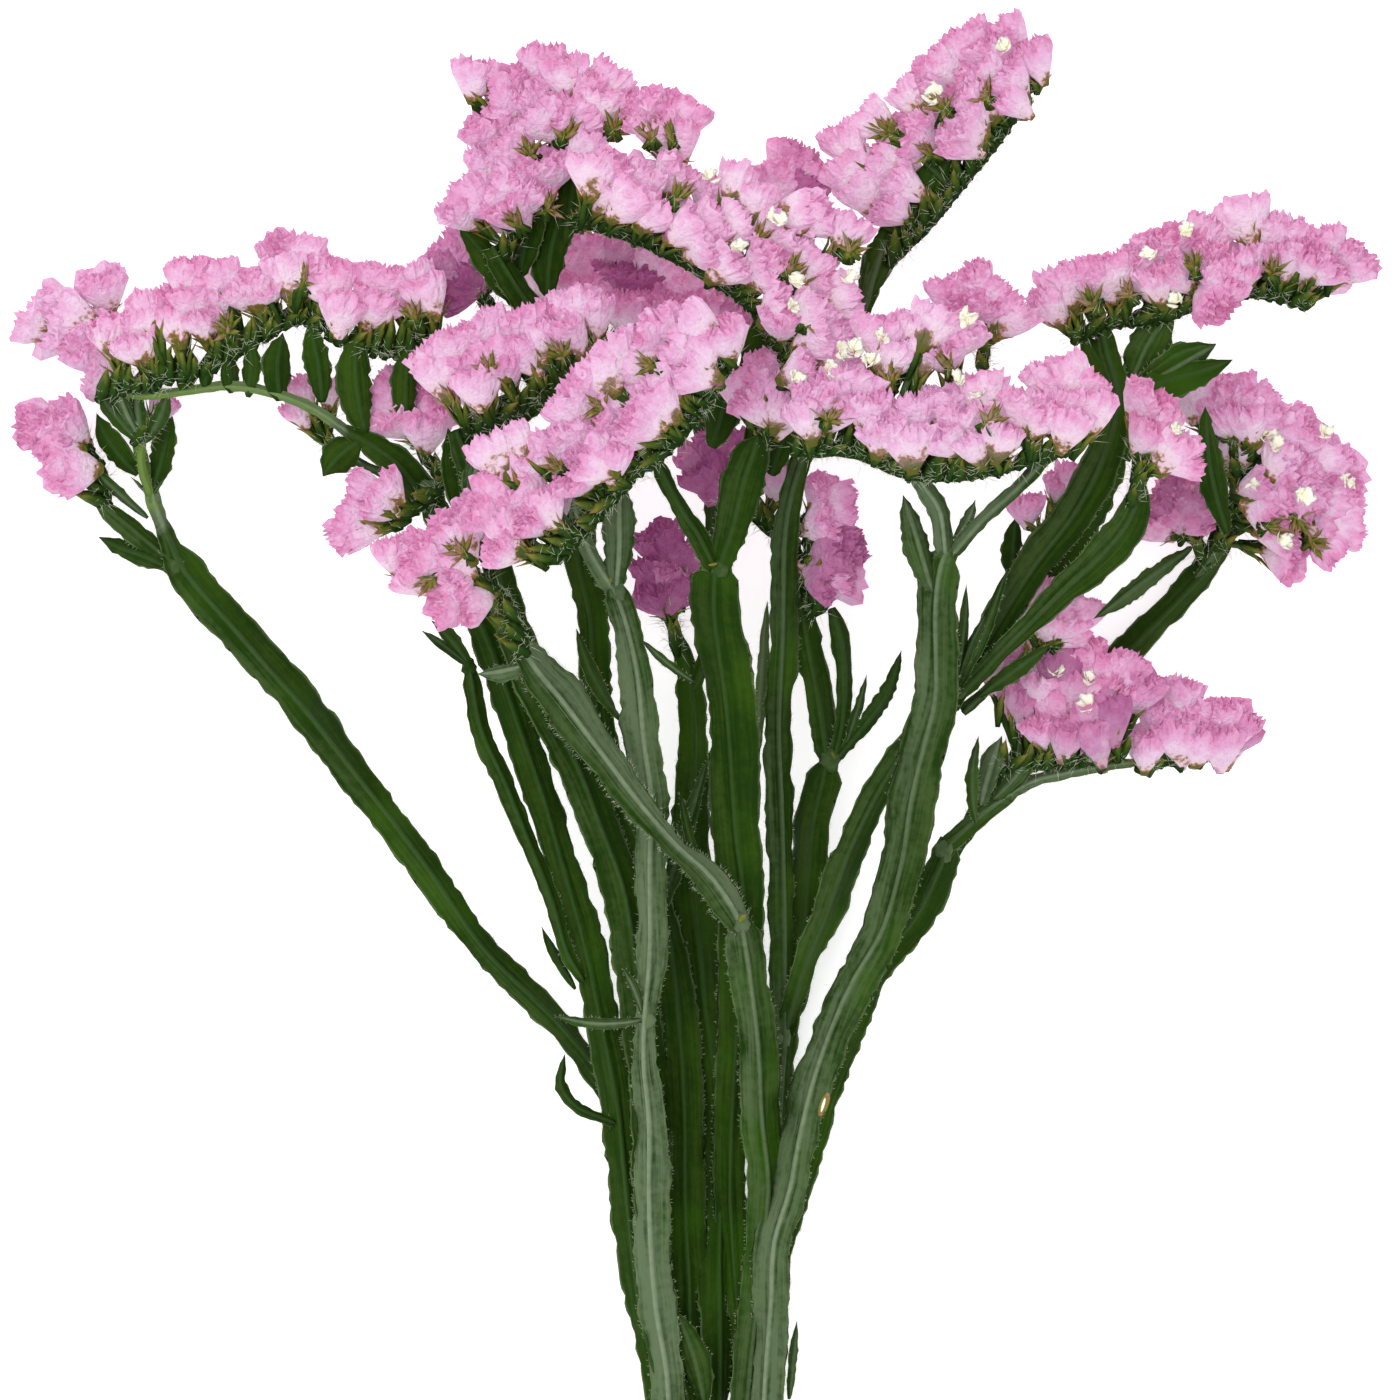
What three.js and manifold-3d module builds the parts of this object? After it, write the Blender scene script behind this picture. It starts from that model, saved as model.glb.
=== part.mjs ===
// A gathered bunch of pink statice lying on its side: eleven winged stems held by one flat band,
// with their branches, leaves and flower heads. Millimetres, +Z up. The cut ends point to -Y,
// the flower heads to +Y. Routes are written with x = 0 near the bunch's axis and y = 0 at the
// top of the cut-end handful; the last lines move the whole bunch to its own frame.
import * as THREE from "three";
import { mergeVertices } from "three/addons/utils/BufferGeometryUtils.js";
import Module from "manifold-3d";

const wasm = await Module();
wasm.setup();

// driving dimensions
const seatGap = 0.3; // clearance between two pieces that touch
const stemCore = 3.0; // depth of a main stem across its midrib
const branchCore = 2.1; // depth of a side branch across its midrib
const leafDepth = 1.1; // depth of a leaf at its midrib
const wingEdge = 0.2; // a wing's edge depth, as a share of the depth at the midrib
const stepLength = 14; // length of one facet along a stem
const headSteps = 8; // facets along a flower head
const headSides = 12; // facets round a flower head
const fewestSteps = 4; // facets along the shortest leaf
const cornerSteps = 4; // facets round one corner of the band
const weldDistance = 1e-4; // vertices nearer than this are one
const band = { y: -14, x: 4.6, length: 6, width: 35.8, height: 12.5, wall: 1, corner: 2.8 };

const finishes = {
  stem: { color: 0x3b5a26, roughness: 0.7, metalness: 0 },
  branch: { color: 0x4d6b35, roughness: 0.7, metalness: 0 },
  leaf: { color: 0x355422, roughness: 0.65, metalness: 0 },
  head: { color: 0xe79ac8, roughness: 0.85, metalness: 0 },
  band: { color: 0xcdb994, roughness: 0.9, metalness: 0 },
};

// half of a winged stem's section, in shares of half its width and half its depth
const wingSection = [
  [1, wingEdge],
  [0.32, 1],
  [-0.32, 1],
  [-1, wingEdge],
];

// [x, y, z, width] along each main stem, from its cut end to its node
const stems = {
  stem_far_left: [
    [-14, -64, 1.5, 5.5], [-8.5, -14, 2.8, 6], [-8.8, 10, 3, 6], [-9, 35, 3.4, 5.6],
    [-13.5, 58, 4.2, 5.4], [-24.5, 78, 5, 5.6], [-35, 91, 5.8, 6], [-55, 112, 7, 7],
    [-71, 135, 8.2, 8], [-97.5, 168.5, 10, 9], [-117, 191.5, 11.5, 9.5], [-132, 209, 12.5, 9],
    [-137, 221, 13, 4.8], [-141, 236, 13, 4], [-145, 247.5, 12.5, 3.5],
  ],
  stem_dark_left: [
    [-12.5, -62, 5, 5.6], [-8.5, -14, 6.2, 6], [-10.5, 0, 6.8, 7], [-14.5, 20, 7.6, 8],
    [-17, 40, 9, 8.5], [-19, 58, 11, 8.5], [-21, 76.5, 13, 8.5], [-25, 96, 16, 8.5],
    [-29, 114, 19, 8.5], [-35, 136, 23, 8.5], [-42, 158.5, 27, 8.5], [-49, 180, 31, 8.5],
    [-55, 196, 34, 8], [-62.5, 214, 37, 7.5], [-69, 228, 39.5, 6.5],
  ],
  stem_wavy_left: [
    [-4, -60, 5.2, 5.8], [-2, -14, 6.2, 6], [-4, 0, 7, 6.5], [-8.5, 20, 8.8, 7],
    [-11.5, 40, 11, 8], [-13, 58, 14, 9], [-14, 75, 17, 9.5], [-15.5, 98, 21, 10],
    [-19, 125, 27, 10], [-24, 140, 30, 10], [-31, 157.5, 34, 10], [-39, 173, 38, 10],
    [-44, 184, 41, 9], [-49, 200, 45, 8], [-53, 215, 49, 7], [-58, 232.5, 54, 5.5],
    [-61, 242, 57, 5],
  ],
  stem_back_left: [
    [-3.5, -63, 1.5, 5.6], [-2.2, -14, 2.8, 6], [-2.2, 10, 3.4, 6], [-2.2, 30, 4.6, 6],
    [-2.5, 50, 6.4, 6], [-3, 75, 9.6, 6.5], [-5, 100, 13.6, 7], [-9, 117.5, 17, 7],
    [-15, 137.5, 21, 7.5], [-22, 155, 25, 8], [-26, 170, 28, 8], [-28, 196.5, 33, 8],
    [-31, 210, 36, 8], [-31, 230, 40, 7.5], [-32, 250, 43, 7], [-38, 266, 46, 7],
    [-46, 278, 48, 7], [-52, 288, 48.5, 6],
  ],
  stem_front_left: [
    [-11, -61, 8.6, 7], [-7.5, -14, 9.6, 8], [-8, 4, 10.8, 8.5], [-10.5, 20, 12.3, 9],
    [-12, 34, 14, 9], [-12.5, 52, 17, 8.7], [-12.5, 70.5, 21.5, 8], [-14, 84, 25, 7.5],
    [-14, 94, 27.5, 7], [-12.5, 109.5, 31, 8], [-12, 136, 37, 8], [-11.5, 150, 40.5, 8.5],
    [-13.5, 167, 45, 8.5], [-15.5, 183, 49.5, 7.5], [-19, 196.5, 53.5, 7], [-22, 204, 55.5, 6],
  ],
  stem_centre: [
    [13.5, -64, 5, 6], [11, -14, 6.2, 6.2], [12, 0, 7.4, 7.5], [14, 20, 9.6, 8.5],
    [15.5, 35, 11.4, 9.5], [16.75, 52, 14.4, 10], [15.5, 70.5, 20, 10], [14.5, 88.75, 26.5, 10],
    [12, 106.75, 33.5, 10], [10, 119.5, 38, 8],
  ],
  stem_broad: [
    [14, -60, 1.5, 5.8], [11, -14, 2.8, 6.1], [10.5, 10, 3.4, 6.4], [9, 35, 5, 7],
    [8, 50, 7.2, 8], [8.5, 75, 13, 9], [10.5, 100, 20.5, 10], [12, 126, 29, 10.5],
    [10.5, 140, 33.5, 11.5], [8.5, 156.5, 38.5, 12.5], [6.5, 176.5, 44.5, 12.5],
    [4, 196.5, 50, 12.5], [4, 208.5, 53.5, 9],
  ],
  stem_back: [
    [5, -62, 1.5, 4.8], [4.5, -14, 2.8, 5], [4.6, 10, 2.8, 5], [4.6, 30, 3, 5],
    [4.2, 50, 3.4, 5], [2.5, 75, 4.8, 5], [0.5, 100, 7, 5.5], [-1, 120, 9, 6],
    [-2, 137, 11, 6.5], [-1.5, 163, 13.5, 7], [-3, 180, 15, 6], [-6, 192, 15.5, 3.5],
  ],
  stem_mid_right: [
    [21, -61, 1.5, 5.6], [17.5, -14, 2.8, 6], [17.6, 10, 2.9, 6], [18, 25, 3.2, 6.4],
    [18.75, 50, 5.2, 7], [20, 70, 8, 7.5], [21, 89, 11, 7], [21, 109.5, 15, 6.5],
    [21, 130, 19, 6.75], [20, 150, 23, 6.75], [19.25, 170, 27, 6.75], [20, 190, 31.5, 6.75],
    [21, 215, 37, 6.5], [25, 234, 41, 5.5], [33, 252, 43, 4.5], [40, 270, 44.5, 3.2],
    [43, 281, 45, 6], [46, 290, 45, 6],
  ],
  stem_front_right: [
    [20, -63, 8.6, 7.5], [16, -14, 9.6, 8], [16.5, 0, 11.1, 8.5], [18, 20, 13.4, 9],
    [19, 37, 15.4, 9], [23.5, 52, 18.4, 9], [26.5, 67.5, 22, 9], [31, 85.5, 26.5, 9.5],
    [38.5, 103.75, 31.5, 10], [46, 117, 35.5, 10.5], [51, 135, 41, 11], [53.5, 150, 45, 11.5],
    [56.5, 164, 49, 11.5], [59, 176, 52, 11], [59, 197, 57.5, 10], [60.5, 208, 60.5, 8.5],
    [62, 212, 61.5, 7],
  ],
  stem_right_low: [
    [22.5, -60, 5, 6], [17.6, -14, 6.2, 6.2], [17.6, 0, 6.3, 6.5], [17.8, 15, 6.5, 7],
    [19.5, 35, 7.6, 8], [23.75, 49.5, 9.6, 8.5], [28, 65.5, 12, 8.5], [31.5, 77, 14, 9],
    [37, 89.5, 16, 9], [45, 108.75, 18.5, 9], [53.75, 120, 19.5, 9], [59, 131, 20, 8.5],
    [62.5, 140, 20, 7],
  ],
};

// [x, y, z, width] along each side branch, from inside its parent's flank outwards
const branches = {
  branch_far_left: [
    [-131, 208, 12.5, 4], [-137, 213, 12.5, 5], [-144, 219, 12.5, 5.4], [-152, 225.5, 12.2, 4],
  ],
  branch_thin_left: [
    [-29.5, 104, 17.6, 3], [-33.5, 111, 20.5, 3.5], [-37, 123, 23, 4], [-44, 141, 27.5, 4.5],
    [-49, 154, 30, 5], [-55, 167.5, 32, 5], [-58, 183, 33, 4.5],
  ],
  branch_arch: [
    [-69, 227, 39.4, 5], [-76, 237.5, 41, 4.5], [-88, 243, 41, 3], [-97, 248, 40, 2.8],
    [-108, 252, 38, 2.6], [-119, 253.5, 35.5, 2.6], [-127.5, 252.5, 33, 2.5],
    [-136, 251.5, 30.5, 2.4], [-141, 251, 29, 2.2],
  ],
  branch_front_left: [
    [-22, 203, 55.4, 4.5], [-27, 211, 60, 4], [-30, 218, 67, 3.5], [-32, 227, 76, 3.2],
  ],
  branch_crossing: [
    [10.5, 118, 37.6, 6], [7.5, 123.5, 39.6, 5.5], [2, 131, 42, 5], [-5.5, 137.75, 45, 5.5],
    [-14.75, 148.5, 48.5, 7], [-22.75, 159, 51.5, 8.5], [-33, 172.5, 55, 10],
    [-41, 182, 58, 8], [-45.5, 189, 61.5, 4.5],
  ],
  branch_broad_left: [
    [4, 207.5, 53.3, 5], [-0.5, 216, 58, 5], [-4, 221, 62, 4.5], [-8.5, 229, 68, 4],
    [-11, 234, 73, 3.5],
  ],
  branch_centre: [
    [4.5, 207.5, 53, 4.5], [9, 222, 51.6, 4], [13, 240, 50.4, 4], [17, 256, 50.4, 3.6],
    [21, 270, 53, 3.4], [23, 279, 57, 3],
  ],
  branch_back: [
    [-2.6, 177, 14.8, 4], [1, 186, 13.5, 4], [3, 205, 11, 4], [3, 225, 10, 3.6],
    [-1, 248, 10, 3.4], [-6, 270, 11, 3],
  ],
  branch_mid_right: [
    [21.5, 90, 10.5, 5], [25.5, 108, 11.2, 7.5], [28, 130, 14, 8.5], [29, 143, 16, 8.75],
    [32.5, 160.5, 19, 8.5],
  ],
  branch_mid_right_up: [
    [32, 159, 18.8, 5], [29, 176.5, 21.5, 6.75], [25.5, 196.5, 24, 6.75],
    [23, 210, 25.5, 6.5], [19.5, 221, 26.8, 5],
  ],
  branch_mid_right_side: [
    [33.5, 159, 19, 4], [35.5, 168, 20.5, 4], [36, 178, 22, 4], [35, 190, 24, 4],
    [33, 198, 26, 3.5],
  ],
  branch_long_right: [
    [21.5, 92, 11.8, 5], [26, 107, 16.8, 6], [30, 117.5, 20, 7], [37.5, 137.5, 26, 8],
    [48.75, 158.75, 33, 8], [58.75, 171.25, 38.5, 8], [68.5, 180, 42.5, 8], [78, 190, 46.5, 8],
    [90, 202, 51, 8.5], [99.5, 211, 54, 9], [106.75, 220, 57, 8], [109.5, 229, 59.5, 5],
  ],
  branch_upper_right: [
    [63.5, 174.5, 39.5, 5], [71, 187, 39.5, 8], [82.75, 206.5, 43, 9.5], [94.75, 223, 46.5, 10],
    [102, 237.5, 49, 8.5], [105, 250, 50, 6], [102, 262, 51, 5.5], [100.5, 269, 51, 5],
  ],
  branch_spike_left: [
    [61.2, 210.5, 61, 4.5], [59.5, 222, 66.5, 5], [55, 229, 71, 4.5], [51, 237, 75, 3.5],
  ],
  branch_spike_right: [
    [62.5, 210.5, 61, 3.5], [70.75, 220, 66, 3.5], [78, 226.5, 70, 3.5], [89, 238, 75.5, 3.5],
  ],
  branch_right_low: [
    [61.5, 138, 20, 5], [71.5, 146.5, 20, 4.5], [82.5, 154, 20, 3.5], [94, 157, 20, 3],
    [105, 158.75, 18, 2.6], [112, 159.5, 17, 2.4],
  ],
  branch_right_cluster: [
    [62, 134.5, 18.6, 4], [68, 143, 14, 5], [75, 152.5, 10.5, 6], [90, 168.75, 6.5, 7],
    [110.75, 190, 5, 7.5], [128, 208, 7, 6.5], [134, 215.5, 10, 4],
  ],
};

// [x, y, z, width] along each leaf, from its base to its tip
const leaves = {
  leaf_far_left: [
    [-133, 208, 12.2, 3], [-141, 211.5, 12, 5.5], [-147, 213.5, 12, 4], [-152, 216.25, 12.5, 1],
  ],
  leaf_centre: [
    [4.5, 207, 53.2, 4], [8, 217, 58, 9], [11, 229, 60.5, 11], [13.5, 237, 62, 8],
    [14.5, 241, 62.5, 3],
  ],
  leaf_front_left: [
    [-21, 202, 55.2, 3], [-20, 213, 59.5, 7.5], [-20, 222, 62, 8], [-20, 230, 63, 3],
  ],
  leaf_curl: [
    [-21.5, 68, 12, 2.5], [-31.5, 72.5, 12.5, 3], [-35.2, 77.75, 13, 3], [-34.2, 85.5, 13.5, 1],
  ],
  leaf_fork: [
    [34.5, 160, 19.4, 2.5], [42, 169, 21, 4], [47, 176, 22, 4], [50.75, 187.5, 22.5, 1],
  ],
  leaf_upper_right: [
    [103.5, 249, 50, 4], [114, 254, 49, 8], [124, 257, 48.5, 7], [133, 260, 48.5, 1.2],
  ],
};

// [x, y, z, half width, half depth] along each flower head, from its base to its tip
const heads = {
  head_left_tip: [
    [-144.3, 246, 12.2, 4, 4], [-150, 258, 12, 11, 11.5], [-157, 268, 12, 12, 12],
    [-163.5, 277, 12, 6, 6],
  ],
  head_left_low: [
    [-151, 225, 12, 3, 3], [-157, 232, 11, 9, 10], [-164, 242, 11, 10.5, 10],
    [-168, 249, 11, 6, 6],
  ],
  head_arch: [
    [-141, 261, 30, 6, 6], [-134, 265.5, 31, 12, 9], [-125, 269.5, 33, 15, 10],
    [-107.5, 271.5, 37, 17, 10.5], [-90, 267, 40, 19, 11], [-76, 264, 42, 18, 11],
    [-67, 268, 42, 8, 8],
  ],
  head_upper_left: [
    [-52.5, 287, 48.5, 5, 5], [-47, 301, 47, 15, 10.5], [-41, 315, 46, 19, 11],
    [-35, 329, 46, 13, 9], [-33, 335, 46, 6, 5],
  ],
  head_centre_long: [
    [-29, 308, 60, 6, 6], [-20, 303.5, 61, 11, 10], [-5, 299, 63, 13, 11.5],
    [10, 297, 64, 16, 12], [23, 289, 64, 17, 12], [31.5, 278.75, 65, 16, 12],
    [34.5, 268, 66, 10, 9],
  ],
  head_upper_small: [
    [-9.5, 307, 56, 4, 4], [-9.5, 316, 54, 9, 8.5], [-9.5, 325, 54, 7, 6],
  ],
  head_centre_low: [
    [12.5, 244, 60, 4, 5], [15.5, 255, 60, 9, 9], [17.5, 266, 60, 8, 7.5],
  ],
  head_right_centre: [
    [33, 249, 76, 8, 8], [41, 250, 76, 15, 11.5], [55, 250.5, 76, 18, 12],
    [70, 251, 76, 17, 12], [86, 250, 76, 15, 11.5], [97, 250, 76, 7, 6],
  ],
  head_right_back: [
    [70, 256, 66, 4, 4], [69.5, 269, 58, 11, 9], [69, 279, 57, 9, 7],
  ],
  head_top_right: [
    [46, 288, 45, 5, 5], [51.5, 304, 45, 12, 10.5], [60, 320, 45, 13, 11],
    [71, 335, 45, 12, 10], [76.5, 343, 45, 6, 5],
  ],
  head_upper_right: [
    [88, 279, 51, 6, 6], [102.5, 277.5, 51, 11, 9.5], [120, 276, 51, 15, 11],
    [133, 281, 51, 16, 11], [149, 285.5, 51, 12, 10], [164, 285, 51, 6, 5],
  ],
  head_pair: [
    [109.5, 228, 60, 3.5, 3.5], [112.5, 240, 62, 8, 8], [113.75, 249, 62, 7, 7],
  ],
  head_right: [
    [133, 214.5, 10, 5, 5], [141, 225, 15, 14, 14.5], [154, 229, 15, 19, 15],
    [166.5, 228, 15, 11, 10],
  ],
  head_right_inner: [
    [127, 213, 10, 3, 3], [120.5, 225, 12, 9, 10], [118.5, 232, 12, 6, 7],
  ],
  head_right_low: [
    [75, 160, 22, 5, 5], [87.5, 170.5, 24, 14, 11], [101, 173, 24, 14.5, 11],
    [114, 175, 24, 7, 7],
  ],
  head_right_low_tip: [
    [111, 160.5, 17, 3, 3], [123.75, 168, 16, 10, 9], [136.25, 168.5, 16, 6, 6],
  ],
  head_mid_left: [
    [-61, 241, 57, 4, 4], [-55, 254, 60, 12, 9.5], [-42.5, 262, 60, 12.5, 10],
    [-28, 268, 60, 8, 7],
  ],
  head_front: [
    [-50, 224, 82, 8, 8], [-40, 230, 82.5, 15, 11], [-30, 238, 83, 15.5, 12],
    [-18.75, 248, 83, 15.5, 12], [-4, 262.5, 83, 14, 11], [4, 268, 83, 6, 6],
  ],
  head_front_low: [
    [-45, 188, 61, 4, 4], [-51, 201, 66, 12.5, 10], [-60, 211, 68, 13, 10],
    [-70, 215.5, 68, 7, 7],
  ],
  head_small_left: [
    [-69, 227, 42, 3, 3], [-79, 223.5, 45, 9, 8], [-88.5, 219.5, 45, 7.5, 7],
  ],
  head_shade: [
    [-6, 191, 15.5, 3, 3], [-8, 206, 15, 9, 8.5], [-9.5, 217, 15, 7, 7],
  ],
  head_floor_row: [
    [-44, 281, 11, 6, 6], [-28, 282, 11, 11, 11], [-12.5, 278.5, 11, 11, 11],
    [4, 273.5, 11, 6, 6],
  ],
  head_back_mid: [
    [19.5, 220, 27, 4, 4], [12, 229.5, 27, 9, 8.5], [3, 236, 27, 7, 7],
  ],
  head_side: [
    [33, 197, 26, 3.5, 3.5], [32, 212, 28, 8, 8], [34.5, 227, 28, 7, 7],
  ],
};

// a smooth route whose section keeps its flat side up and takes its size from the points
class Route extends THREE.CatmullRomCurve3 {
  constructor(points, sizes, spread) {
    super(points);
    this.sizes = sizes; // one [half width, half depth] for each point
    this.spread = spread; // added all round
  }

  sizeAt(share) {
    const place = this.getUtoTmapping(share) * (this.sizes.length - 1);
    const index = Math.min(Math.floor(place), this.sizes.length - 2);
    const [from, to] = [this.sizes[index], this.sizes[index + 1]];
    const along = place - index;
    return from.map((size, side) => THREE.MathUtils.lerp(size, to[side], along) + this.spread);
  }

  computeFrenetFrames(segments) {
    const frames = { tangents: [], normals: [], binormals: [] };
    for (let step = 0; step <= segments; step += 1) {
      const share = step / segments;
      const [halfWidth, halfDepth] = this.sizeAt(share);
      const tangent = this.getTangentAt(share);
      const across = new THREE.Vector3(0, 0, 1).cross(tangent).normalize();
      const upward = new THREE.Vector3().crossVectors(tangent, across);
      frames.tangents.push(tangent);
      frames.normals.push(across.multiplyScalar(halfWidth));
      frames.binormals.push(upward.multiplyScalar(halfDepth));
    }
    return frames;
  }
}

// a section in unit sizes carried along a route, each end moved out by spread
function sweep(rows, sizes, outline, steps, spread) {
  const points = rows.map(([x, y, z]) => new THREE.Vector3(x, y, z));
  for (const [end, next] of [[0, 1], [points.length - 1, points.length - 2]]) {
    const outward = points[end].clone().sub(points[next]).normalize();
    points[end].addScaledVector(outward, spread);
  }
  const route = new Route(points, sizes, spread);
  return new THREE.ExtrudeGeometry(outline, { steps, extrudePath: route });
}

function wingedOutline() {
  const lower = wingSection.map(([x, y]) => [x, -y]).reverse();
  return new THREE.Shape([...wingSection, ...lower].map(([x, y]) => new THREE.Vector2(x, y)));
}

function roundOutline() {
  const turns = Array.from({ length: headSides }, (_, side) => (2 * Math.PI * side) / headSides);
  return new THREE.Shape(turns.map((turn) => new THREE.Vector2(Math.cos(turn), Math.sin(turn))));
}

// a route of [x, y, z, width] as a flat winged solid
function blade(rows, depth, spread) {
  const stretches = rows.slice(1).map(([x, y, z], index) => {
    const [fromX, fromY, fromZ] = rows[index];
    return Math.hypot(x - fromX, y - fromY, z - fromZ);
  });
  const length = stretches.reduce((sum, stretch) => sum + stretch, 0);
  const steps = Math.max(fewestSteps, Math.round(length / stepLength));
  const sizes = rows.map((row) => [row[3] / 2, depth / 2]);
  return sweep(rows, sizes, wingedOutline(), steps, spread);
}

// a route of [x, y, z, half width, half depth] as a soft rounded solid
function cushion(rows, spread) {
  const sizes = rows.map((row) => [row[3], row[4]]);
  return sweep(rows, sizes, roundOutline(), headSteps, spread);
}

// a rectangle with round corners about the middle of the band
function roundedRectangle(width, height, corner) {
  const shape = new THREE.Shape();
  const [x, y] = [width / 2 - corner, height / 2 - corner];
  shape.absarc(x, y, corner, 0, Math.PI / 2);
  shape.absarc(-x, y, corner, Math.PI / 2, Math.PI);
  shape.absarc(-x, -y, corner, Math.PI, 1.5 * Math.PI);
  shape.absarc(x, -y, corner, 1.5 * Math.PI, 2 * Math.PI);
  return shape;
}

function bandGeometry() {
  const outline = roundedRectangle(band.width, band.height, band.corner);
  const inner = [band.width - 2 * band.wall, band.height - 2 * band.wall, band.corner - band.wall];
  outline.holes.push(roundedRectangle(...inner));
  const options = { depth: band.length, bevelEnabled: false, curveSegments: cornerSteps };
  const ring = new THREE.ExtrudeGeometry(outline, options);
  ring.rotateX(Math.PI / 2);
  ring.translate(band.x, band.y + band.length / 2, band.height / 2);
  return ring;
}

function toSolid(geometry) {
  const bare = geometry.clone();
  bare.deleteAttribute("normal");
  bare.deleteAttribute("uv");
  const merged = mergeVertices(bare, weldDistance);
  return new wasm.Manifold(new wasm.Mesh({
    numProp: 3,
    vertProperties: Float32Array.from(merged.attributes.position.array),
    triVerts: Uint32Array.from(merged.index.array),
  }));
}

function toGeometry(solid) {
  const mesh = solid.getMesh();
  const geometry = new THREE.BufferGeometry();
  geometry.setAttribute("position", new THREE.BufferAttribute(mesh.vertProperties, 3));
  geometry.setIndex(new THREE.BufferAttribute(mesh.triVerts, 1));
  return geometry;
}

// the piece with room left for every neighbour that it meets; loose slivers are dropped
function seated(geometry, neighbours) {
  const box = new THREE.Box3().setFromBufferAttribute(geometry.attributes.position);
  const near = neighbours.filter((neighbour) => neighbour.box.intersectsBox(box));
  let solid = toSolid(geometry);
  for (const neighbour of near) {
    solid = solid.subtract(neighbour.solid);
  }
  const [largest] = solid.decompose().sort((one, other) => other.volume() - one.volume());
  return toGeometry(largest);
}

const bunch = new THREE.Group();
const placed = []; // the room that each finished piece keeps free, for the pieces after it

function addPiece(name, build, finish) {
  const geometry = seated(build(0), placed);
  const room = build(seatGap);
  const box = new THREE.Box3().setFromBufferAttribute(room.attributes.position);
  placed.push({ solid: toSolid(room), box });
  geometry.computeVertexNormals();
  const mesh = new THREE.Mesh(geometry, new THREE.MeshStandardMaterial(finish));
  mesh.name = name;
  bunch.add(mesh);
}

for (const [name, rows] of Object.entries(stems)) {
  addPiece(name, (spread) => blade(rows, stemCore, spread), finishes.stem);
}
for (const [name, rows] of Object.entries(branches)) {
  addPiece(name, (spread) => blade(rows, branchCore, spread), finishes.branch);
}
for (const [name, rows] of Object.entries(leaves)) {
  addPiece(name, (spread) => blade(rows, leafDepth, spread), finishes.leaf);
}
for (const [name, rows] of Object.entries(heads)) {
  addPiece(name, (spread) => cushion(rows, spread), finishes.head);
}

const tie = new THREE.Mesh(bandGeometry(), new THREE.MeshStandardMaterial(finishes.band));
tie.name = "band";
bunch.add(tie);

// the frame's origin is under the middle of the bunch's box
const reach = new THREE.Box3().setFromObject(bunch);
const middle = reach.getCenter(new THREE.Vector3());
bunch.position.set(-middle.x, -middle.y, -reach.min.z);

const statice = new THREE.Group();
statice.add(bunch);
export default statice;
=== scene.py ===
import math

import bpy
import numpy as np
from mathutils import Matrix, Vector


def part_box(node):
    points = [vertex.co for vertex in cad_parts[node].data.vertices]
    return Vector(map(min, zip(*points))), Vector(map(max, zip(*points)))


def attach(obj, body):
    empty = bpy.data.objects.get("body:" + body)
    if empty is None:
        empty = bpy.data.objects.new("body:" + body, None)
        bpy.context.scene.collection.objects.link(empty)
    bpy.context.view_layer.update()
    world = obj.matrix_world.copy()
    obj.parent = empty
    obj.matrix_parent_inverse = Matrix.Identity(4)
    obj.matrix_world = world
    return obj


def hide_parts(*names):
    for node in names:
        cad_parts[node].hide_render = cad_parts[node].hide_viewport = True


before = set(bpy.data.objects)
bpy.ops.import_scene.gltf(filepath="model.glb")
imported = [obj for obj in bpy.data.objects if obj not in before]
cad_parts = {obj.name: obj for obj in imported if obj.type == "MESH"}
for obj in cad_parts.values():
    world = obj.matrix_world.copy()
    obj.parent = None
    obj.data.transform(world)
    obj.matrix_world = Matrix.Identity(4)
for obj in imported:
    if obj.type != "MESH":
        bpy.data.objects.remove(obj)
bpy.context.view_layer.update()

# A bunch of pink statice lying on its side: winged stems, leaves and one-sided flower heads
# whose papery calyxes, cream corollas and hairy bracts are made one by one.
# Routes are in millimetres from the bunch's own axis, with the cut ends at -y and the surface at z = 0.
mm = 0.001
bandMiddle = np.array([4.6, -14, 6.25])
bandLow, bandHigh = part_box("band")
shift = (np.array(bandLow) + np.array(bandHigh)) / 2 - bandMiddle * mm
print("frame loaded:", len(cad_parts), "nodes")

view = {"distance": 3.0, "across": 0.350, "middle": (0, 175, 45), "sensor": 36.0, "farthest": 20}
light = {
    "sky": 0.92, "lamp": 12.0, "lampSize": 1.5, "lampOver": (0, 175, 0), "lampPlace": (-0.55, 0.35, 1.7),
    "floor": 0.85, "floorCloud": 0.985, "floorGlow": 0.62, "floorHalf": 3.0,
}


def fromBunch(point):
    return shift + np.array(point, float) * mm


def place(name, data):
    made = bpy.data.objects.new(name, data)
    bpy.context.scene.collection.objects.link(made)
    return made


camera = place("camera", bpy.data.cameras.new("camera"))
camera.location = fromBunch(view["middle"]) + np.array([0, 0, view["distance"]])
camera.data.sensor_width = view["sensor"]
camera.data.lens = view["sensor"] * view["distance"] / view["across"]
camera.data.clip_end = view["farthest"]
bpy.context.scene.camera = camera
bpy.context.scene.view_settings.view_transform = "Standard"

world = bpy.data.worlds.new("studio")
world.use_nodes = True
world.node_tree.nodes["Background"].inputs["Color"].default_value = (1, 1, 1, 1)
world.node_tree.nodes["Background"].inputs["Strength"].default_value = light["sky"]
bpy.context.scene.world = world

lamp = place("softbox", bpy.data.lights.new("softbox", "AREA"))
lamp.data.size = light["lampSize"]
lamp.data.energy = light["lamp"]
aim = np.array(light["lampPlace"])
lamp.location = fromBunch(light["lampOver"]) + aim
lamp.rotation_euler = (math.atan2(math.hypot(aim[0], aim[1]), aim[2]), 0, math.atan2(aim[0], -aim[1]))
print("camera and light set")


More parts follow.
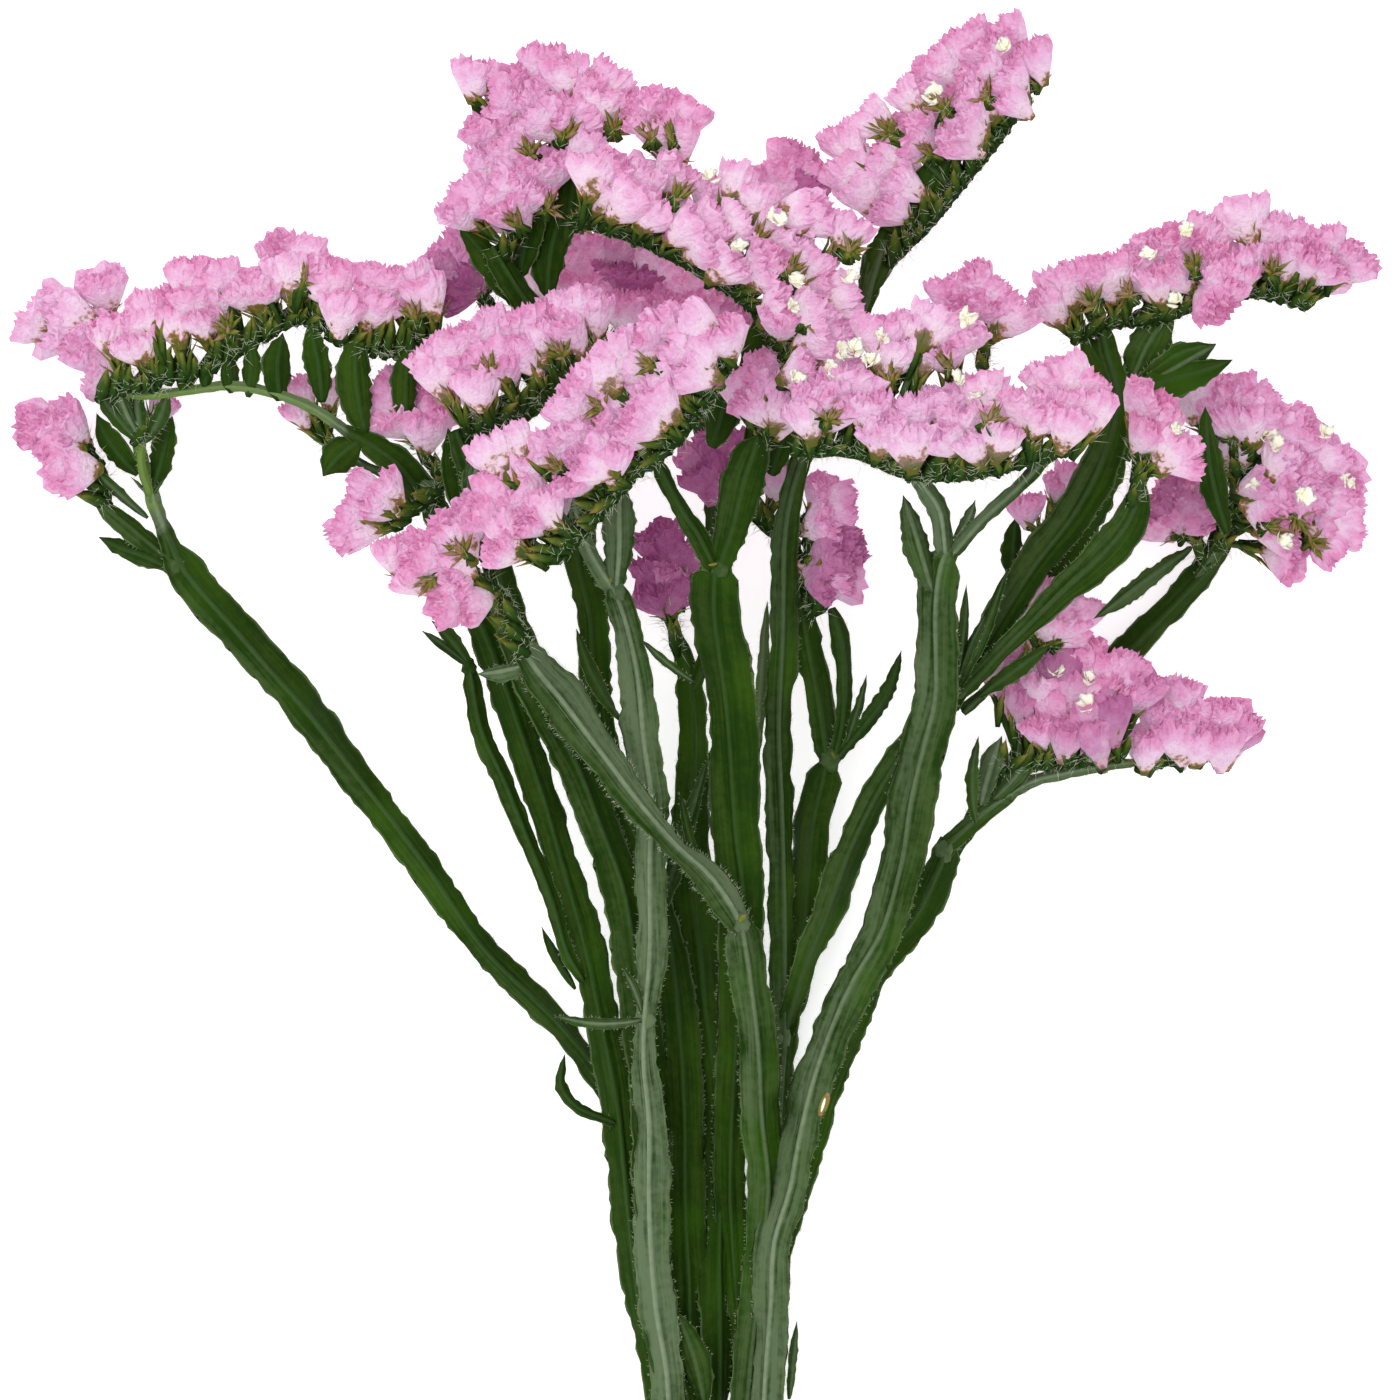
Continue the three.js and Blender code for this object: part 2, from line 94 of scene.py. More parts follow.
class Value:
    # a socket in a material: sums, differences and products of it add Math nodes
    def __init__(self, tree, socket=None):
        self.tree, self.socket = tree, socket

    def node(self, kind, settings=None, sockets=None, out=0):
        made = self.tree.nodes.new(kind)
        for name, setting in (settings or {}).items():
            if name == "stops":
                setStops(made.color_ramp, setting)
            else:
                setattr(made, name, setting)
        for name, given in (sockets or {}).items():
            if isinstance(given, Value):
                self.tree.links.new(given.socket, made.inputs[name])
            else:
                made.inputs[name].default_value = given
        return Value(self.tree, made.outputs[out])

    def math(self, operation, first, second):
        return self.node("ShaderNodeMath", {"operation": operation}, {0: first, 1: second})

    def __add__(self, other):
        return self.math("ADD", self, other)

    def __sub__(self, other):
        return self.math("SUBTRACT", self, other)

    def __rsub__(self, other):
        return self.math("SUBTRACT", other, self)

    def __mul__(self, other):
        return self.math("MULTIPLY", self, other)

    __radd__, __rmul__ = __add__, __mul__

    def varied(self, *parts):
        # this value plus each part's distance from its middle, 0.5, times the part's depth
        total = self
        for part, depth in parts:
            total = total + (part - 0.5) * depth
        return total

    def field(self, name):
        return self.node("ShaderNodeAttribute", {"attribute_name": name}, out="Fac")

    def noise(self, scale, detail=2.0, where=None):
        spot = where or self.node("ShaderNodeTexCoord", out="Object")
        return self.node("ShaderNodeTexNoise", {}, {"Vector": spot, "Scale": scale, "Detail": detail})

    def strip(self, x, y, z=0.0):
        return self.node("ShaderNodeCombineXYZ", {}, {0: x, 1: y, 2: z})

    def between(self, low, high):
        # 0 below low, 1 above high, smooth between them
        settings = {"interpolation_type": "SMOOTHSTEP"}
        return self.node("ShaderNodeMapRange", settings, {"Value": self, "From Min": low, "From Max": high})

    def blend(self, first, second):
        # first where this value is 0, second where it is 1
        first, second = ((*colour, 1) if isinstance(colour, tuple) else colour for colour in (first, second))
        return self.node("ShaderNodeMix", {"data_type": "RGBA"}, {0: self, 6: first, 7: second}, out=2)

    def ramp(self, stops):
        return self.node("ShaderNodeValToRGB", {"stops": stops}, {"Fac": self})


def setStops(ramp, stops):
    while len(ramp.elements) < len(stops):
        ramp.elements.new(0.5)
    for element, (position, colour) in zip(ramp.elements, stops):
        element.position, element.color = position, (*colour, 1)


def newFinish(name, roughness, **fixed):
    material = bpy.data.materials.new(name)
    material.use_nodes = True
    surface = material.node_tree.nodes["Principled BSDF"]
    surface.inputs["Roughness"].default_value = roughness
    for socket, value in fixed.items():
        surface.inputs[socket.replace("_", " ")].default_value = value
    return material, Value(material.node_tree), surface


def feed(start, surface, value, *sockets):
    for socket in sockets:
        start.tree.links.new(value.socket, surface.inputs[socket])


def feedBump(start, surface, height, depth):
    bump = start.node("ShaderNodeBump", {}, {"Height": height, "Distance": depth, "Strength": 1.0})
    feed(start, surface, bump, "Normal")


green = {
    "dark": (0.012, 0.038, 0.002), "leaf": (0.033, 0.070, 0.006), "grey": (0.112, 0.163, 0.082),
    "shineThrough": (0.042, 0.112, 0.005), "edge": (0.190, 0.280, 0.110), "rib": (0.250, 0.320, 0.200),
    "darkRib": (0.036, 0.082, 0.018), "lime": (0.165, 0.275, 0.052), "shine": 0.05,
    "greyFrom": (0.1, 0.7), "limeFrom": (1.0, 2.0), "ribFrom": (0.3, 1.0),  # tone, tone and rib
    "marginFrom": (0.2, 1.0), "ribShadeFrom": (0.04, 0.12), "rimFrom": (0.76, 0.97),  # squared width
    "greyAndShade": 0.22, "greyTone": 0.62, "greyMargin": 0.3, "ribShadeLift": 0.15,
    "band": 1.3, "cloud": 0.8, "mottle": 0.9, "streak": 1.2, "shineThroughPatch": (0.5, 0.75), "shineThroughShare": 0.6,
    "streakStrip": (2.6, 0.018), "bandStrip": (0.7, 0.012), "pieceStep": 9.0,  # by across, along and tone
    "scales": {"streak": 3.0, "band": 2.2, "mottle": 520, "cloud": 60, "shineThroughPatch": 34},
    "ribMottle": (0.45, 0.6), "rimMottle": (0.25, 0.8), "limeMottle": (0.6, 0.6), "roughness": (0.5, 0.25),
    "bump": 0.0008,
}


def greenFinish():
    # dark to grey green by each piece's tone from 0 to 1 and lime from 1 to 2, darker at the margins,
    # with a paler rib, painted shade in the crease beside the rib, bright green patches of painted light
    # shining through the thin wing, clouds and fine mottling
    material, start, surface = newFinish("green_skin", 0.6, Specular_IOR_Level=green["shine"])
    across, along, tone, rib = (start.field(name) for name in ("across", "along", "tone", "rib"))
    scales, piece, squared = green["scales"], tone * green["pieceStep"], across * across
    (thinX, thinY), (wideX, wideY) = green["streakStrip"], green["bandStrip"]
    streak = start.noise(scales["streak"], 4.0, start.strip(across * thinX, along * thinY, piece))
    band = start.noise(scales["band"], 1.0, start.strip(across * wideX, along * wideY, piece + 4.0))
    mottle, cloud = start.noise(scales["mottle"], 4.0), start.noise(scales["cloud"], 3.0)
    ribMottle, rimMottle, limeMottle, rough = (
        low + mottle * depth for low, depth in (green[name] for name in (
            "ribMottle", "rimMottle", "limeMottle", "roughness")))
    margin = squared.between(*green["marginFrom"])
    # painted shade in the crease beside the rib: past the crease the wing is lifted greyer, so the strip next
    # to the rib stays darker
    ribShade = squared.between(*green["ribShadeFrom"]) * (1 - rib)
    greyAndShade = green["greyAndShade"] + tone * green["greyTone"] - margin * green["greyMargin"]
    greyAndShade = greyAndShade + ribShade * green["ribShadeLift"]
    greyAndShade = greyAndShade.varied((band, green["band"]), (cloud, green["cloud"]), (mottle, green["mottle"]),
                       (streak, green["streak"])).between(0.0, 1.0)
    greyed = tone.between(*green["greyFrom"])
    body = greyAndShade.blend(green["dark"], greyed.blend(green["leaf"], green["grey"]))
    # painted light: bright green patches, on the darker pieces, where light shines through the thin wing
    shineThroughPatch = start.noise(scales["shineThroughPatch"], 2.0).between(*green["shineThroughPatch"]) * (1 - tone).between(0.0, 0.8)
    body = (shineThroughPatch * green["shineThroughShare"]).blend(body, green["shineThrough"])
    ribTone = greyed.blend(green["darkRib"], green["rib"])
    body = (rib.between(*green["ribFrom"]) * ribMottle).blend(body, ribTone)
    rim = squared.between(*green["rimFrom"]) * (1 - rib) * rimMottle
    body = rim.blend(body, green["edge"])
    body = (tone.between(*green["limeFrom"]) * limeMottle).blend(body, green["lime"])
    feed(start, surface, body, "Base Color")
    feed(start, surface, rough, "Roughness")
    feedBump(start, surface, streak * 0.5 + mottle * 0.5, green["bump"])
    return material


papery = {
    "paintedGlow": 0.16, "shine": 0.2, "blotch": 0.8, "grain": 0.4, "tone": 0.45, "cloud": 0.5,
    "stops": [(0.0, (0.09, 0.09, 0.010)), (0.11, (0.26, 0.13, 0.045)), (0.22, (0.70, 0.50, 0.57)),
              (0.4, (0.735, 0.55, 0.675)), (0.62, (0.71, 0.41, 0.60)), (0.84, (0.68, 0.31, 0.515)),
              (1.0, (0.63, 0.22, 0.42))],
    "scales": {"blotch": 330, "grain": 1100, "cloud": 95, "lilac": 14, "spot": 130, "cream": 300,
               "pores": 800},
    "lit": (0.76, 0.55, 0.70), "litFrom": (0.15, 0.9), "litGrain": 1.2, "litShare": 0.5,
    "spot": (0.42, 0.09, 0.38), "spotFrom": (0.66, 0.74), "spotShare": 0.55,
    "lilac": (0.62, 0.42, 0.68), "lilacFrom": (0.4, 0.62), "lilacShare": 0.12,
    # deep is the colour of the painted shade on flowers in heads that lie in shade
    "deep": (0.31, 0.075, 0.21), "paintedShadeFrom": (0.6, 1.0), "paintedShadeBlotch": (0.72, 0.45), "bump": 0.0014,
    "creamStops": [(0.0, (0.62, 0.58, 0.26)), (0.25, (0.84, 0.81, 0.62)), (1.0, (0.88, 0.87, 0.78))],
    "creamVary": 0.3, "creamBump": 0.0002,
}


def calyxFinish():
    # nearly white at the tube, pink above and deeper at the crinkled rim, in soft blotches; heads in shade
    # get painted shade, deeper and darker, and the emission of the same colour is a faint painted glow
    # standing for light passing through the thin paper
    material, start, surface = newFinish("calyx_paper", 0.6, Specular_IOR_Level=papery["shine"],
                                         Emission_Strength=papery["paintedGlow"])
    along, fold, tone = (start.field(name) for name in ("along", "fold", "tone"))
    scales, (least, depth) = papery["scales"], papery["paintedShadeBlotch"]
    blotch, grain, cloud = (start.noise(scales[name], detail) for name, detail in (
        ("blotch", 3.0), ("grain", 3.0), ("cloud", 2.0)))
    lilac = start.noise(scales["lilac"], 1.0).between(*papery["lilacFrom"]) * along.between(0.1, 0.3)
    level = along.varied((blotch, papery["blotch"]), (grain, papery["grain"]), (tone, papery["tone"]),
                         (cloud, papery["cloud"]))
    lit = fold.varied((grain, papery["litGrain"])).between(*papery["litFrom"]) * along.between(0.1, 0.35)
    body = (lit * papery["litShare"]).blend(level.ramp(papery["stops"]), papery["lit"])
    spot = start.noise(scales["spot"], 1.0).between(*papery["spotFrom"]) * (1 - along).between(0.2, 0.75)
    body = (spot * papery["spotShare"]).blend(body, papery["spot"])
    body = (lilac * papery["lilacShare"]).blend(body, papery["lilac"])
    # painted shade: flowers of a high tone, in heads lying in shade, are painted deeper and darker magenta in
    # blotches
    body = (tone.between(*papery["paintedShadeFrom"]) * (least + blotch * depth)).blend(body, papery["deep"])
    feed(start, surface, body, "Base Color", "Emission Color")
    feedBump(start, surface, grain * 0.5 + blotch * 0.5, papery["bump"])
    return material


def corollaFinish():
    # yellow green in the throat, cream above
    # a faint painted glow of the petal's own colour, standing for light passing through it
    material, start, surface = newFinish("corolla_petal", 0.5, Specular_IOR_Level=papery["shine"],
                                         Emission_Strength=papery["paintedGlow"])
    cream = start.noise(papery["scales"]["cream"], 2.0) * papery["creamVary"]
    body = (start.field("along") + cream).ramp(papery["creamStops"])
    feed(start, surface, body, "Base Color", "Emission Color")
    feedBump(start, surface, start.noise(papery["scales"]["pores"], 2.0), papery["creamBump"])
    return material


dry = {
    "grain": 0.6, "grainScale": 420, "tone": 0.45, "bump": 0.0004,
    "hair": ((0.34, 0.42, 0.24), (0.74, 0.78, 0.62)), "hairScale": 120,
    "stops": [(0.0, (0.016, 0.048, 0.006)), (0.35, (0.035, 0.078, 0.010)), (0.62, (0.10, 0.135, 0.020)),
              (0.82, (0.20, 0.20, 0.035)), (0.94, (0.27, 0.15, 0.045)), (1.0, (0.32, 0.22, 0.13))],
}


def bractFinish():
    # dark green at the base, olive above and orange brown at the dry tips
    material, start, surface = newFinish("bract_skin", 0.62, Specular_IOR_Level=green["shine"])
    along, tone, grain = start.field("along"), start.field("tone"), start.noise(dry["grainScale"], 3.0)
    body = along.varied((grain, dry["grain"]), (tone, dry["tone"])).ramp(dry["stops"])
    feed(start, surface, body, "Base Color")
    feedBump(start, surface, grain, dry["bump"])
    return material


def hairFinish():
    material, start, surface = newFinish("white_hair", 0.55)
    feed(start, surface, start.noise(dry["hairScale"], 1.0).blend(*dry["hair"]), "Base Color")
    return material


def floorFinish():
    material, start, surface = newFinish("pale_floor", 0.8, Emission_Color=(1, 1, 1, 1),
                                         Emission_Strength=light["floorGlow"])
    pale = (light["floor"],) * 3
    clouded = (light["floor"] * light["floorCloud"],) * 3
    feed(start, surface, start.noise(3.0, 2.0).blend(pale, clouded), "Base Color")
    return material


tie = {
    "turns": 2.1, "halfWidth": 3.0, "thickness": 0.42, "across": 35.8, "height": 12.5, "square": 6.0,
    "steps": 260, "drift": (-0.4, 0.5), "fibreStrip": (14.0, 0.08), "bump": 0.0005,
    "stops": [(0.25, (0.36, 0.25, 0.12)), (0.55, (0.60, 0.46, 0.27)), (0.8, (0.74, 0.63, 0.43))],
}


def tieFinish():
    # straw coloured fibres that run along the strip
    material, start, surface = newFinish("tie_fibre", 0.75)
    x, y = (start.field(name) * stretch for name, stretch in zip(("across", "along"), tie["fibreStrip"]))
    fibre = start.noise(2.0, 4.0, start.strip(x, y))
    feed(start, surface, fibre.ramp(tie["stops"]), "Base Color")
    feedBump(start, surface, fibre, tie["bump"])
    return material


finishes = {
    "green": greenFinish(), "calyx": calyxFinish(), "corolla": corollaFinish(), "bract": bractFinish(),
    "hair": hairFinish(), "tie": tieFinish(), "floor": floorFinish(),
}
print("materials made:", len(finishes))


# every shape is a closed shell: a grid of rings that close round, with a pole at each end
fieldNames = ("along", "across", "tone", "rib", "fold")
lowest = 0.25  # nothing reaches nearer the surface, in millimetres
counted = {"triangles": 0}


def shellFaces(count, rows, columns, start):
    grid = np.arange(rows * columns).reshape(rows, columns)
    beside = np.roll(grid, -1, axis=1)
    quads = np.stack([grid[:-1], beside[:-1], beside[1:], grid[1:]], -1).reshape(-1, 4)
    first, last = rows * columns, rows * columns + 1
    startCap = np.stack([np.full(columns, first), beside[0], grid[0]], -1)
    endCap = np.stack([np.full(columns, last), grid[-1], beside[-1]], -1)
    step = start + (rows * columns + 2) * np.arange(count)[:, None, None]
    caps = np.concatenate([startCap, endCap])
    return (quads[None] + step).reshape(-1, 4), (caps[None] + step).reshape(-1, 3)


class Piece:
    # gathers closed shells, with their fields and finishes, into one object
    def __init__(self, name):
        self.name, self.points, self.quads, self.triangles = name, [], [], []
        self.fields = {field: [] for field in fieldNames}
        self.quadFinish, self.triangleFinish, self.finishes, self.size = [], [], [], 0

    def add(self, rings, startPole, endPole, finish, **fields):
        # rings (count, rows, columns, 3), poles (count, 3), fields broadcast to (count, rows, columns)
        count, rows, columns = rings.shape[:3]
        if count == 0:
            return
        points = np.concatenate([rings.reshape(count, -1, 3), startPole[:, None], endPole[:, None]], 1)
        quads, triangles = shellFaces(count, rows, columns, self.size)
        if finish not in self.finishes:
            self.finishes.append(finish)
        index = self.finishes.index(finish)
        self.points.append(points.reshape(-1, 3))
        self.quads.append(quads)
        self.triangles.append(triangles)
        self.quadFinish.append(np.full(len(quads), index))
        self.triangleFinish.append(np.full(len(triangles), index))
        for field in fieldNames:
            grid = np.broadcast_to(np.asarray(fields.get(field, 0.0), float), (count, rows, columns))
            ends = [grid[:, 0].mean(1)[:, None], grid[:, -1].mean(1)[:, None]]
            self.fields[field].append(np.concatenate([grid.reshape(count, -1), *ends], 1).ravel())
        self.size += count * (rows * columns + 2)

    def finish(self, slot, *replaced, facets=False):
        points = np.concatenate(self.points)
        points[:, 2] = np.maximum(points[:, 2], lowest)
        quads, triangles = np.concatenate(self.quads), np.concatenate(self.triangles)
        loops = np.concatenate([quads.ravel(), triangles.ravel()])
        starts = np.concatenate([4 * np.arange(len(quads)), quads.size + 3 * np.arange(len(triangles))])
        mesh = bpy.data.meshes.new(self.name)
        mesh.vertices.add(len(points))
        mesh.vertices.foreach_set("co", (points * mm + shift).ravel())
        mesh.loops.add(len(loops))
        mesh.loops.foreach_set("vertex_index", loops)
        mesh.polygons.add(len(starts))
        mesh.polygons.foreach_set("loop_start", starts)
        mesh.polygons.foreach_set("material_index", np.concatenate(self.quadFinish + self.triangleFinish))
        mesh.update(calc_edges=True)
        if facets:
            mesh.shade_flat()
        else:
            mesh.shade_smooth()
        for field in fieldNames:
            values = np.concatenate(self.fields[field])
            if values.any():
                mesh.attributes.new(field, "FLOAT", "POINT").data.foreach_set("value", values)
        for finish in self.finishes:
            mesh.materials.append(finishes[finish])
        piece = place(self.name, mesh)
        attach(piece, "root")
        if replaced:
            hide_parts(*replaced)
        counted["triangles"] += 2 * len(quads) + len(triangles)


def unit(vectors):
    return vectors / np.maximum(np.linalg.norm(vectors, axis=-1, keepdims=True), 1e-9)


def distances(line):
    # how far each point of a line is from its start
    return np.concatenate([[0], np.cumsum(np.linalg.norm(np.diff(line[:, :3], axis=0), axis=1))])


def smoothRoute(points, spacing, fewest=6):
    # a cubic through the points, with slopes by centripetal chord length, cut at even steps
    points = np.asarray(points, float)
    chords = np.sqrt(np.linalg.norm(np.diff(points[:, :3], axis=0), axis=1))
    knots = np.concatenate([[0], np.cumsum(chords)])
    slopes = np.gradient(points, knots, axis=0)
    fine = np.linspace(0, knots[-1], 30 * len(points))
    index = np.clip(np.searchsorted(knots, fine, side="right") - 1, 0, len(knots) - 2)
    width = (knots[index + 1] - knots[index])[:, None]
    t = (fine - knots[index])[:, None] / width
    line = (2 * t**3 - 3 * t**2 + 1) * points[index] + (3 * t**2 - 2 * t**3) * points[index + 1]
    line += (t**3 - 2 * t**2 + t) * width * slopes[index] + (t**3 - t**2) * width * slopes[index + 1]
    travelled = distances(line)
    even = np.linspace(0, travelled[-1], max(fewest, int(round(travelled[-1] / spacing)) + 1))
    return sample(line, travelled, even), even


def sample(line, travelled, where):
    return np.stack([np.interp(where, travelled, line[:, k]) for k in range(line.shape[1])], 1)


def routeFrames(line, roll):
    # the way along, the flat way across and the way up, turned by roll about the route
    tangent = unit(np.gradient(line[:, :3], axis=0))
    across = unit(np.cross([0, 0, 1], tangent))
    upward = np.cross(tangent, across)
    cosine, sine = np.cos(roll)[:, None], np.sin(roll)[:, None]
    return tangent, across * cosine + upward * sine, upward * cosine - across * sine


def axisFrames(axis):
    # two unit vectors square to each axis
    helper = np.where(np.abs(axis[..., 2:3]) < 0.9, [[0, 0, 1.0]], [[1.0, 0, 0]])
    first = unit(np.cross(helper, axis))
    return first, np.cross(axis, first)


def swing(axis, turn):
    # one unit vector square to each axis, turned about it
    first, second = axisFrames(axis)
    return first * np.cos(turn)[:, None] + second * np.sin(turn)[:, None]


def turns(columns):
    return np.arange(columns) * 2 * math.pi / columns


def circles(axis, columns):
    # the points of a circle of radius 1 about each axis
    first, second = (part[:, None] for part in axisFrames(axis))
    turn = turns(columns)[:, None]
    return first * np.cos(turn) + second * np.sin(turn)


def slowNoise(places, wavelength, seed):
    # a smooth wandering value from about -1 to 1 along the places: four sines with phases by the seed
    phases = np.random.default_rng(seed).uniform(0, 2 * math.pi, 4)
    parts = zip((1, 0.57, 1.71, 0.33), (1, 0.7, 0.8, 0.35), phases)
    return sum(size * np.sin(2 * math.pi * places / (wavelength * ratio) + phase)
               for ratio, size, phase in parts) / 2.2


spike = {"columns": 3, "widest": 0.2, "tone": 0.5}


def addSpikes(piece, bases, directions, lengths, thickness):
    # each hair is two joined three-sided points: its ring sits a fifth of the way up
    middle = bases + directions * lengths[:, None] * spike["widest"]
    rings = (middle[:, None] + circles(directions, spike["columns"]) * thickness / 2)[:, None]
    piece.add(rings, bases, bases + directions * lengths[:, None], "hair", tone=spike["tone"])


# stems, branches and leaves: (x, y, z, width) along each, from its lower end
stems = {
    "stem_far_left": [(-14, -64, 1.5, 5.5), (-8.5, -14, 2.8, 6), (-8.8, 10, 3, 6), (-9, 35, 3.4, 5.6),
        (-13.5, 58, 4.2, 5.4), (-24.5, 78, 5, 5.6), (-35, 91, 5.8, 6), (-55, 112, 7, 7), (-71, 135, 8.2, 8),
        (-97.5, 168.5, 10, 9), (-117, 191.5, 11.5, 9.5), (-132, 209, 12.5, 8.5), (-134, 213.5, 12.8, 5),
        (-137, 221, 13, 3.8), (-141, 236, 13, 3.2), (-145, 247.5, 12.5, 3)],
    "stem_dark_left": [(-12.5, -62, 5, 5.6), (-8.5, -14, 6.2, 6), (-10.5, 0, 6.8, 7), (-14.5, 20, 7.6, 8),
        (-17, 40, 9, 8.5), (-19, 58, 11, 8.5), (-21, 76.5, 13, 8.5), (-25, 96, 16, 8.5), (-29, 114, 19, 8.5),
        (-35, 136, 23, 8.5), (-42, 158.5, 27, 8.5), (-49, 180, 31, 8.5), (-55, 196, 34, 8),
        (-62.5, 214, 37, 7.5), (-69, 228, 39.5, 6.5)],
    "stem_wavy_left": [(-4, -60, 5.2, 5.8), (-2, -14, 6.2, 6), (-4, 0, 7, 6.5), (-8.5, 20, 8.8, 7),
        (-11.5, 40, 11, 8), (-13, 58, 14, 9), (-14, 75, 17, 9.5), (-15.5, 98, 21, 10), (-19, 125, 27, 10),
        (-24, 140, 30, 10), (-31, 157.5, 34, 10), (-39, 173, 38, 10), (-44, 184, 41, 9), (-49, 200, 45, 8),
        (-53, 215, 49, 7), (-58, 232.5, 54, 5.5), (-61, 242, 57, 5)],
    "stem_back_left": [(-3.5, -63, 1.5, 5.6), (-2.2, -14, 2.8, 6), (-2.8, 10, 3.4, 8.5), (-3.2, 30, 4.6, 9.5),
        (-3.8, 50, 6.4, 10.5), (-4.2, 75, 9.6, 11), (-6, 100, 13.6, 10.5), (-9, 117.5, 17, 7),
        (-15, 137.5, 21, 7.5), (-22, 155, 25, 8), (-26, 170, 28, 8), (-28, 196.5, 33, 8), (-31, 210, 36, 8),
        (-31, 230, 40, 7.5), (-32, 250, 43, 7), (-38, 266, 46, 7), (-46, 278, 48, 7), (-52, 288, 48.5, 6)],
    "stem_front_left": [(-11, -61, 8.6, 7), (-7.5, -14, 9.6, 8), (-8, 4, 10.8, 8.5), (-10.5, 20, 12.3, 9),
        (-12, 34, 14, 9.4), (-12.5, 52, 17, 9.2), (-12.5, 70.5, 21.5, 8.2), (-14, 84, 25, 6.4),
        (-14, 94, 27.5, 5), (-12.5, 109.5, 31, 7.6), (-12, 136, 37, 8), (-11.5, 150, 40.5, 8.5),
        (-13.5, 167, 45, 8.5), (-15.5, 183, 49.5, 7.5), (-19, 196.5, 53.5, 7), (-22, 204, 55.5, 6)],
    "stem_centre": [(13.5, -64, 5, 6), (11, -14, 6.2, 6.2), (12, 0, 7.4, 7.5), (14, 20, 9.6, 8.5),
        (15.5, 35, 11.4, 9.5), (16.75, 52, 14.4, 10), (15.5, 70.5, 20, 10), (14.5, 88.75, 26.5, 10),
        (12, 106.75, 33.5, 10), (10, 119.5, 38, 8)],
    "stem_broad": [(14, -60, 1.5, 5.8), (11, -14, 2.8, 6.1), (10.5, 10, 3.4, 6.4), (9, 35, 5, 7),
        (8, 50, 7.2, 8), (8.5, 75, 13, 9), (10.5, 100, 20.5, 10), (11, 126, 29, 11.5), (9.3, 140, 33.5, 12.5),
        (7.8, 156.5, 38.5, 12.8), (6.5, 176.5, 44.5, 12.5), (4, 196.5, 50, 12.5), (4, 208.5, 53.5, 10.5)],
    "stem_back": [(5, -62, 1.5, 4.8), (4.5, -14, 2.8, 5), (4.6, 10, 2.8, 8), (4.8, 30, 3, 9), (5, 50, 3.4, 9),
        (4, 75, 4.8, 10), (0.5, 100, 7, 12), (-1.5, 120, 9, 13.5), (-2.5, 137, 11, 11), (-2, 163, 13.5, 7.5),
        (-3, 180, 15, 6), (-6, 192, 15.5, 3.5)],
    "stem_mid_right": [(21, -61, 1.5, 5.6), (17.5, -14, 2.8, 6), (17.6, 10, 2.9, 6), (18, 25, 3.2, 6.4),
        (18.75, 50, 5.2, 7), (20, 70, 8, 7.5), (21, 89, 11, 7), (21, 109.5, 15, 6.5), (21, 130, 19, 6.75),
        (20, 150, 23, 6.75), (19.25, 170, 27, 6.75), (20, 190, 31.5, 6.75), (21, 215, 37, 6.5),
        (25, 234, 41, 5.5), (33, 252, 43, 4.5), (40, 270, 44.5, 3.2), (43, 281, 45, 6), (46, 290, 45, 6)],
    "stem_front_right": [(20, -63, 8.6, 7.5), (16, -14, 9.6, 8), (16.5, 0, 11.1, 8.5), (18, 20, 13.4, 9),
        (19, 37, 15.4, 9), (23.5, 52, 18.4, 9), (26.5, 67.5, 22, 9), (31, 85.5, 26.5, 9.5),
        (38.5, 103.75, 31.5, 10), (46, 117, 35.5, 10.5), (51, 135, 41, 11), (53.5, 150, 45, 11.5),
        (56.5, 164, 49, 11.5), (59, 176, 52, 11), (59, 197, 57.5, 10), (60.5, 208, 60.5, 8.5),
        (62, 212, 61.5, 7)],
    "stem_right_low": [(22.5, -60, 5, 6), (17.6, -14, 6.2, 6.2), (17.6, 0, 6.3, 6.5), (17.8, 15, 6.5, 7),
        (19.5, 35, 7.6, 8), (23.75, 49.5, 9.6, 8.5), (28, 65.5, 12, 8.5), (31.5, 77, 14, 9),
        (37, 89.5, 16, 9), (45, 108.75, 18.5, 9), (53.75, 120, 19.5, 9), (59, 131, 20, 8.5),
        (62.5, 140, 20, 7)],
}
